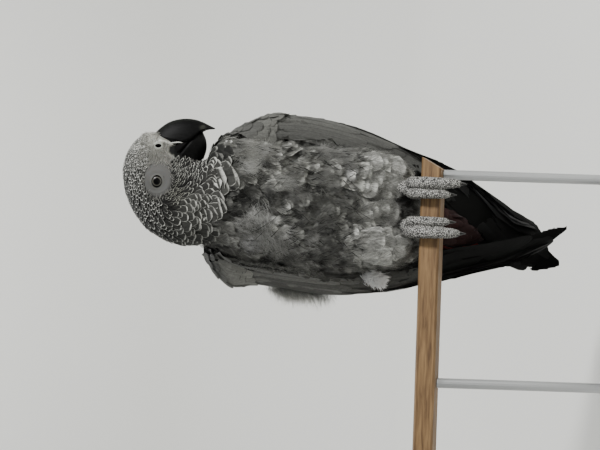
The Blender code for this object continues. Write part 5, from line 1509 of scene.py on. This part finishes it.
def eyelids(side, sign, centre):
    """The lids of one eye: thin creased skin with a dark wet rim, seated on the hide round it."""
    turns = [2 * math.pi * i / LID_SIDES for i in range(LID_SIDES)]
    top, low, rim_flat = [], [], []
    for a in turns:
        hit, _ = side_hit(EYE_X + LID_SEAT * math.cos(a), EYE_Z + LID_SEAT * math.sin(a), sign)
        rim_flat.append(abs(hit.y - HEAD_Y) - EYE_OUT)
    rim_mean = sum(rim_flat) / LID_SIDES
    for k in range(LID_RINGS + 1):
        share = k / LID_RINGS
        for i, a in enumerate(turns):
            inner = 1 / math.hypot(math.cos(a) / OPENING[0], math.sin(a) / OPENING[1])
            r = inner + (LID_OUT - inner) * share ** LID_SPREAD
            x, z = r * math.cos(a), r * math.sin(a)
            over = math.sqrt(max(EYE_RADIUS ** 2 - r * r, 0.0)) + LID_OFF
            if r < LID_SEAT:
                out = (r / LID_SEAT) ** 2
                flat = rim_mean + (rim_flat[i] - rim_mean) * out + 0.3 * (1 - out)
            else:
                hit, _ = side_hit(EYE_X + x, EYE_Z + z, sign)
                flat = abs(hit.y - HEAD_Y) - EYE_OUT
            flat += 0.15 - 0.35 * max(0.0, (r - 6.4) / 1.6) ** 2
            on_ball = math.exp(LID_JOIN * over) if r < EYE_RADIUS - 0.05 else 0.0
            height = math.log(on_ball + math.exp(LID_JOIN * flat)) / LID_JOIN
            fold = math.sin(2 * math.pi * (r - inner) / LID_CREASE + 0.9 * math.sin(a + 0.6))
            fold *= math.exp(-((r - inner - 1.4) / 1.3) ** 2) * (1.0 + 0.5 * math.sin(a))
            height += (0.06 + 0.03 * math.sin(3 * a + 1.0)) * fold
            rim_in = 0.45 if k == 0 else 0.12 if k == 1 else 0.0
            top.append(centre + (x, sign * (height - rim_in), z))
            low.append(centre + (x, sign * (height - LID_DEEP), z))
    verts = np.array(top + low)
    count = (LID_RINGS + 1) * LID_SIDES
    faces = []
    for k in range(LID_RINGS):
        for i in range(LID_SIDES):
            j = (i + 1) % LID_SIDES
            a, b = k * LID_SIDES, (k + 1) * LID_SIDES
            quad = (a + i, a + j, b + j, b + i)
            faces.append(faced(quad, sign))
            faces.append(faced(tuple(v + count for v in quad), -sign))
    for i in range(LID_SIDES):
        j = (i + 1) % LID_SIDES
        faces.append(faced((j, i, count + i, count + j), sign))
        a = LID_RINGS * LID_SIDES
        faces.append(faced((a + i, a + j, count + a + j, count + a + i), sign))
    lids = mesh_object(f"eyelids_{side}", verts * MM, faces, hide)
    ring_share = (np.arange(LID_RINGS + 1) / LID_RINGS) ** LID_SPREAD
    share = np.tile(np.repeat(ring_share, LID_SIDES), 2)
    shade = blended(np.tile(FACE_PALE, (len(share), 1)), hue("585753"),
                    np.exp(-((share - 0.12) / 0.09) ** 2))
    paint(lids.data, blended(shade, hue("121110"), 1.4 - share / 0.04))
    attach(lids, "root")


for side, sign in (("right", -1), ("left", 1)):
    centre = np.array([EYE_X, HEAD_Y + sign * EYE_OUT, EYE_Z])
    verts = [centre + (0, sign * EYE_RADIUS, 0)]
    faces, mats = [], []
    rings = [math.asin(r / EYE_RADIUS) for r, _ in EYE_RINGS] + [math.radians(a) for a in EYE_BACK]
    kinds = [k for _, k in EYE_RINGS] + [2] * len(EYE_BACK)
    for angle in rings:
        for i in range(EYE_SIDES):
            a = 2 * math.pi * i / EYE_SIDES
            verts.append(centre + EYE_RADIUS * np.array([math.sin(angle) * math.cos(a),
                                                         sign * math.cos(angle),
                                                         math.sin(angle) * math.sin(a)]))
    verts.append(centre - (0, sign * EYE_RADIUS, 0))
    for i in range(EYE_SIDES):
        j = (i + 1) % EYE_SIDES
        faces.append((0, 1 + j, 1 + i) if sign < 0 else (0, 1 + i, 1 + j))
        mats.append(0)
        for k in range(len(rings) - 1):
            a, b = 1 + k * EYE_SIDES, 1 + (k + 1) * EYE_SIDES
            faces.append(faced((a + i, a + j, b + j, b + i), sign))
            mats.append(kinds[k + 1])
        last = 1 + (len(rings) - 1) * EYE_SIDES
        faces.append(faced((last + i, last + j, len(verts) - 1), sign))
        mats.append(2)
    eye = mesh_object(f"eyeball_{side}", [v * MM for v in verts], faces, pupil, iris, ball)
    eye.data.polygons.foreach_set("material_index", mats)
    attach(eye, "root")
    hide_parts(f"eye_{side}")
    eyelids(side, sign, centre)

# Feet: two toes before and two behind, in small pale granular scales with dark skin between them. Each
# toe ends in a claw of dark horn.
scales, shader = material("foot_scales_dry", Roughness=0.7)
spot = node(scales, "TexCoord").outputs["Object"]
cells = node(scales, "TexVoronoi", {"Vector": spot, "Scale": 900.0}, feature="DISTANCE_TO_EDGE")
field = node(scales, "MapRange", {0: cells.outputs["Distance"], 1: 0.06, 2: 0.22, 3: 0.0, 4: 1.0},
             interpolation_type="SMOOTHSTEP")
mix = node(scales, "Mix", {0: field.outputs[0], 6: (*rgb("1d1b19"), 1), 7: (*rgb("aeada8"), 1)},
           data_type="RGBA")
bump = node(scales, "Bump", {"Height": field.outputs[0], "Strength": 0.6, "Distance": 0.0002})
wired(scales, shader, Base_Color=mix.outputs[2], Normal=bump.outputs[0])
claw, _ = material("claw_horn_dark", "1d1c1a", Roughness=0.35)
TOES = [f"{way}_{place}" for way in ("front", "hind") for place in ("inner", "outer")]
for side in ("right", "left"):
    scaled = [f"foot_{side}"] + [f"toe_{side}_{toe}" for toe in TOES]
    foot = remeshed(f"foot_{side}_scaled", scaled, 0.35, 0.5, 3)
    foot.data.materials.append(scales)
    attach(foot, "root")
    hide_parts(*scaled)
    for toe in TOES:
        tip = remeshed(f"claw_{side}_{toe}_horn", [f"claw_{side}_{toe}"], 0.1, 0.3, 2)
        tip.data.materials.append(claw)
        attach(tip, "root")
        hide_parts(f"claw_{side}_{toe}")

# Bar: a planed length of pine, weathered brown, its near end sawn at a slant. The grain is drawn out
# along it and stands up a little, as in old wood.
pine, shader = material("pine_weathered", Roughness=0.62)
spot = node(pine, "TexCoord").outputs["Object"]
stretch = node(pine, "Mapping", {"Vector": spot, "Scale": (18.0, 260.0, 260.0)})
grain = node(pine, "TexNoise", {"Vector": stretch.outputs[0], "Scale": 2.2, "Detail": 6.0, "Roughness": 0.6,
                                "Distortion": 0.4})
ramp = node(pine, "ValToRGB", {"Fac": grain.outputs[0]})
for stop, position, shade in zip(ramp.color_ramp.elements, (0.32, 0.68), ("523a20", "8d6f49")):
    stop.position = position
    stop.color = (*rgb(shade), 1)
bump = node(pine, "Bump", {"Height": grain.outputs[0], "Strength": 0.3, "Distance": 0.0004})
wired(pine, shader, Base_Color=ramp.outputs[0], Normal=bump.outputs[0])
nodes["perch_bar"].data.materials[0] = pine

# Stand: a plain display stand, a board painted satin black with two brushed steel rods set in it that
# hold the bar up.
paint_dark, _ = material("stand_paint_satin", "3a3b3c", Roughness=0.45)
steel, _ = material("stand_steel_brushed", "b9babb", Metallic=1.0, Roughness=0.38)
nodes["stand_base"].data.materials[0] = paint_dark
for side in ("left", "right"):
    nodes[f"stand_rod_{side}"].data.materials[0] = steel
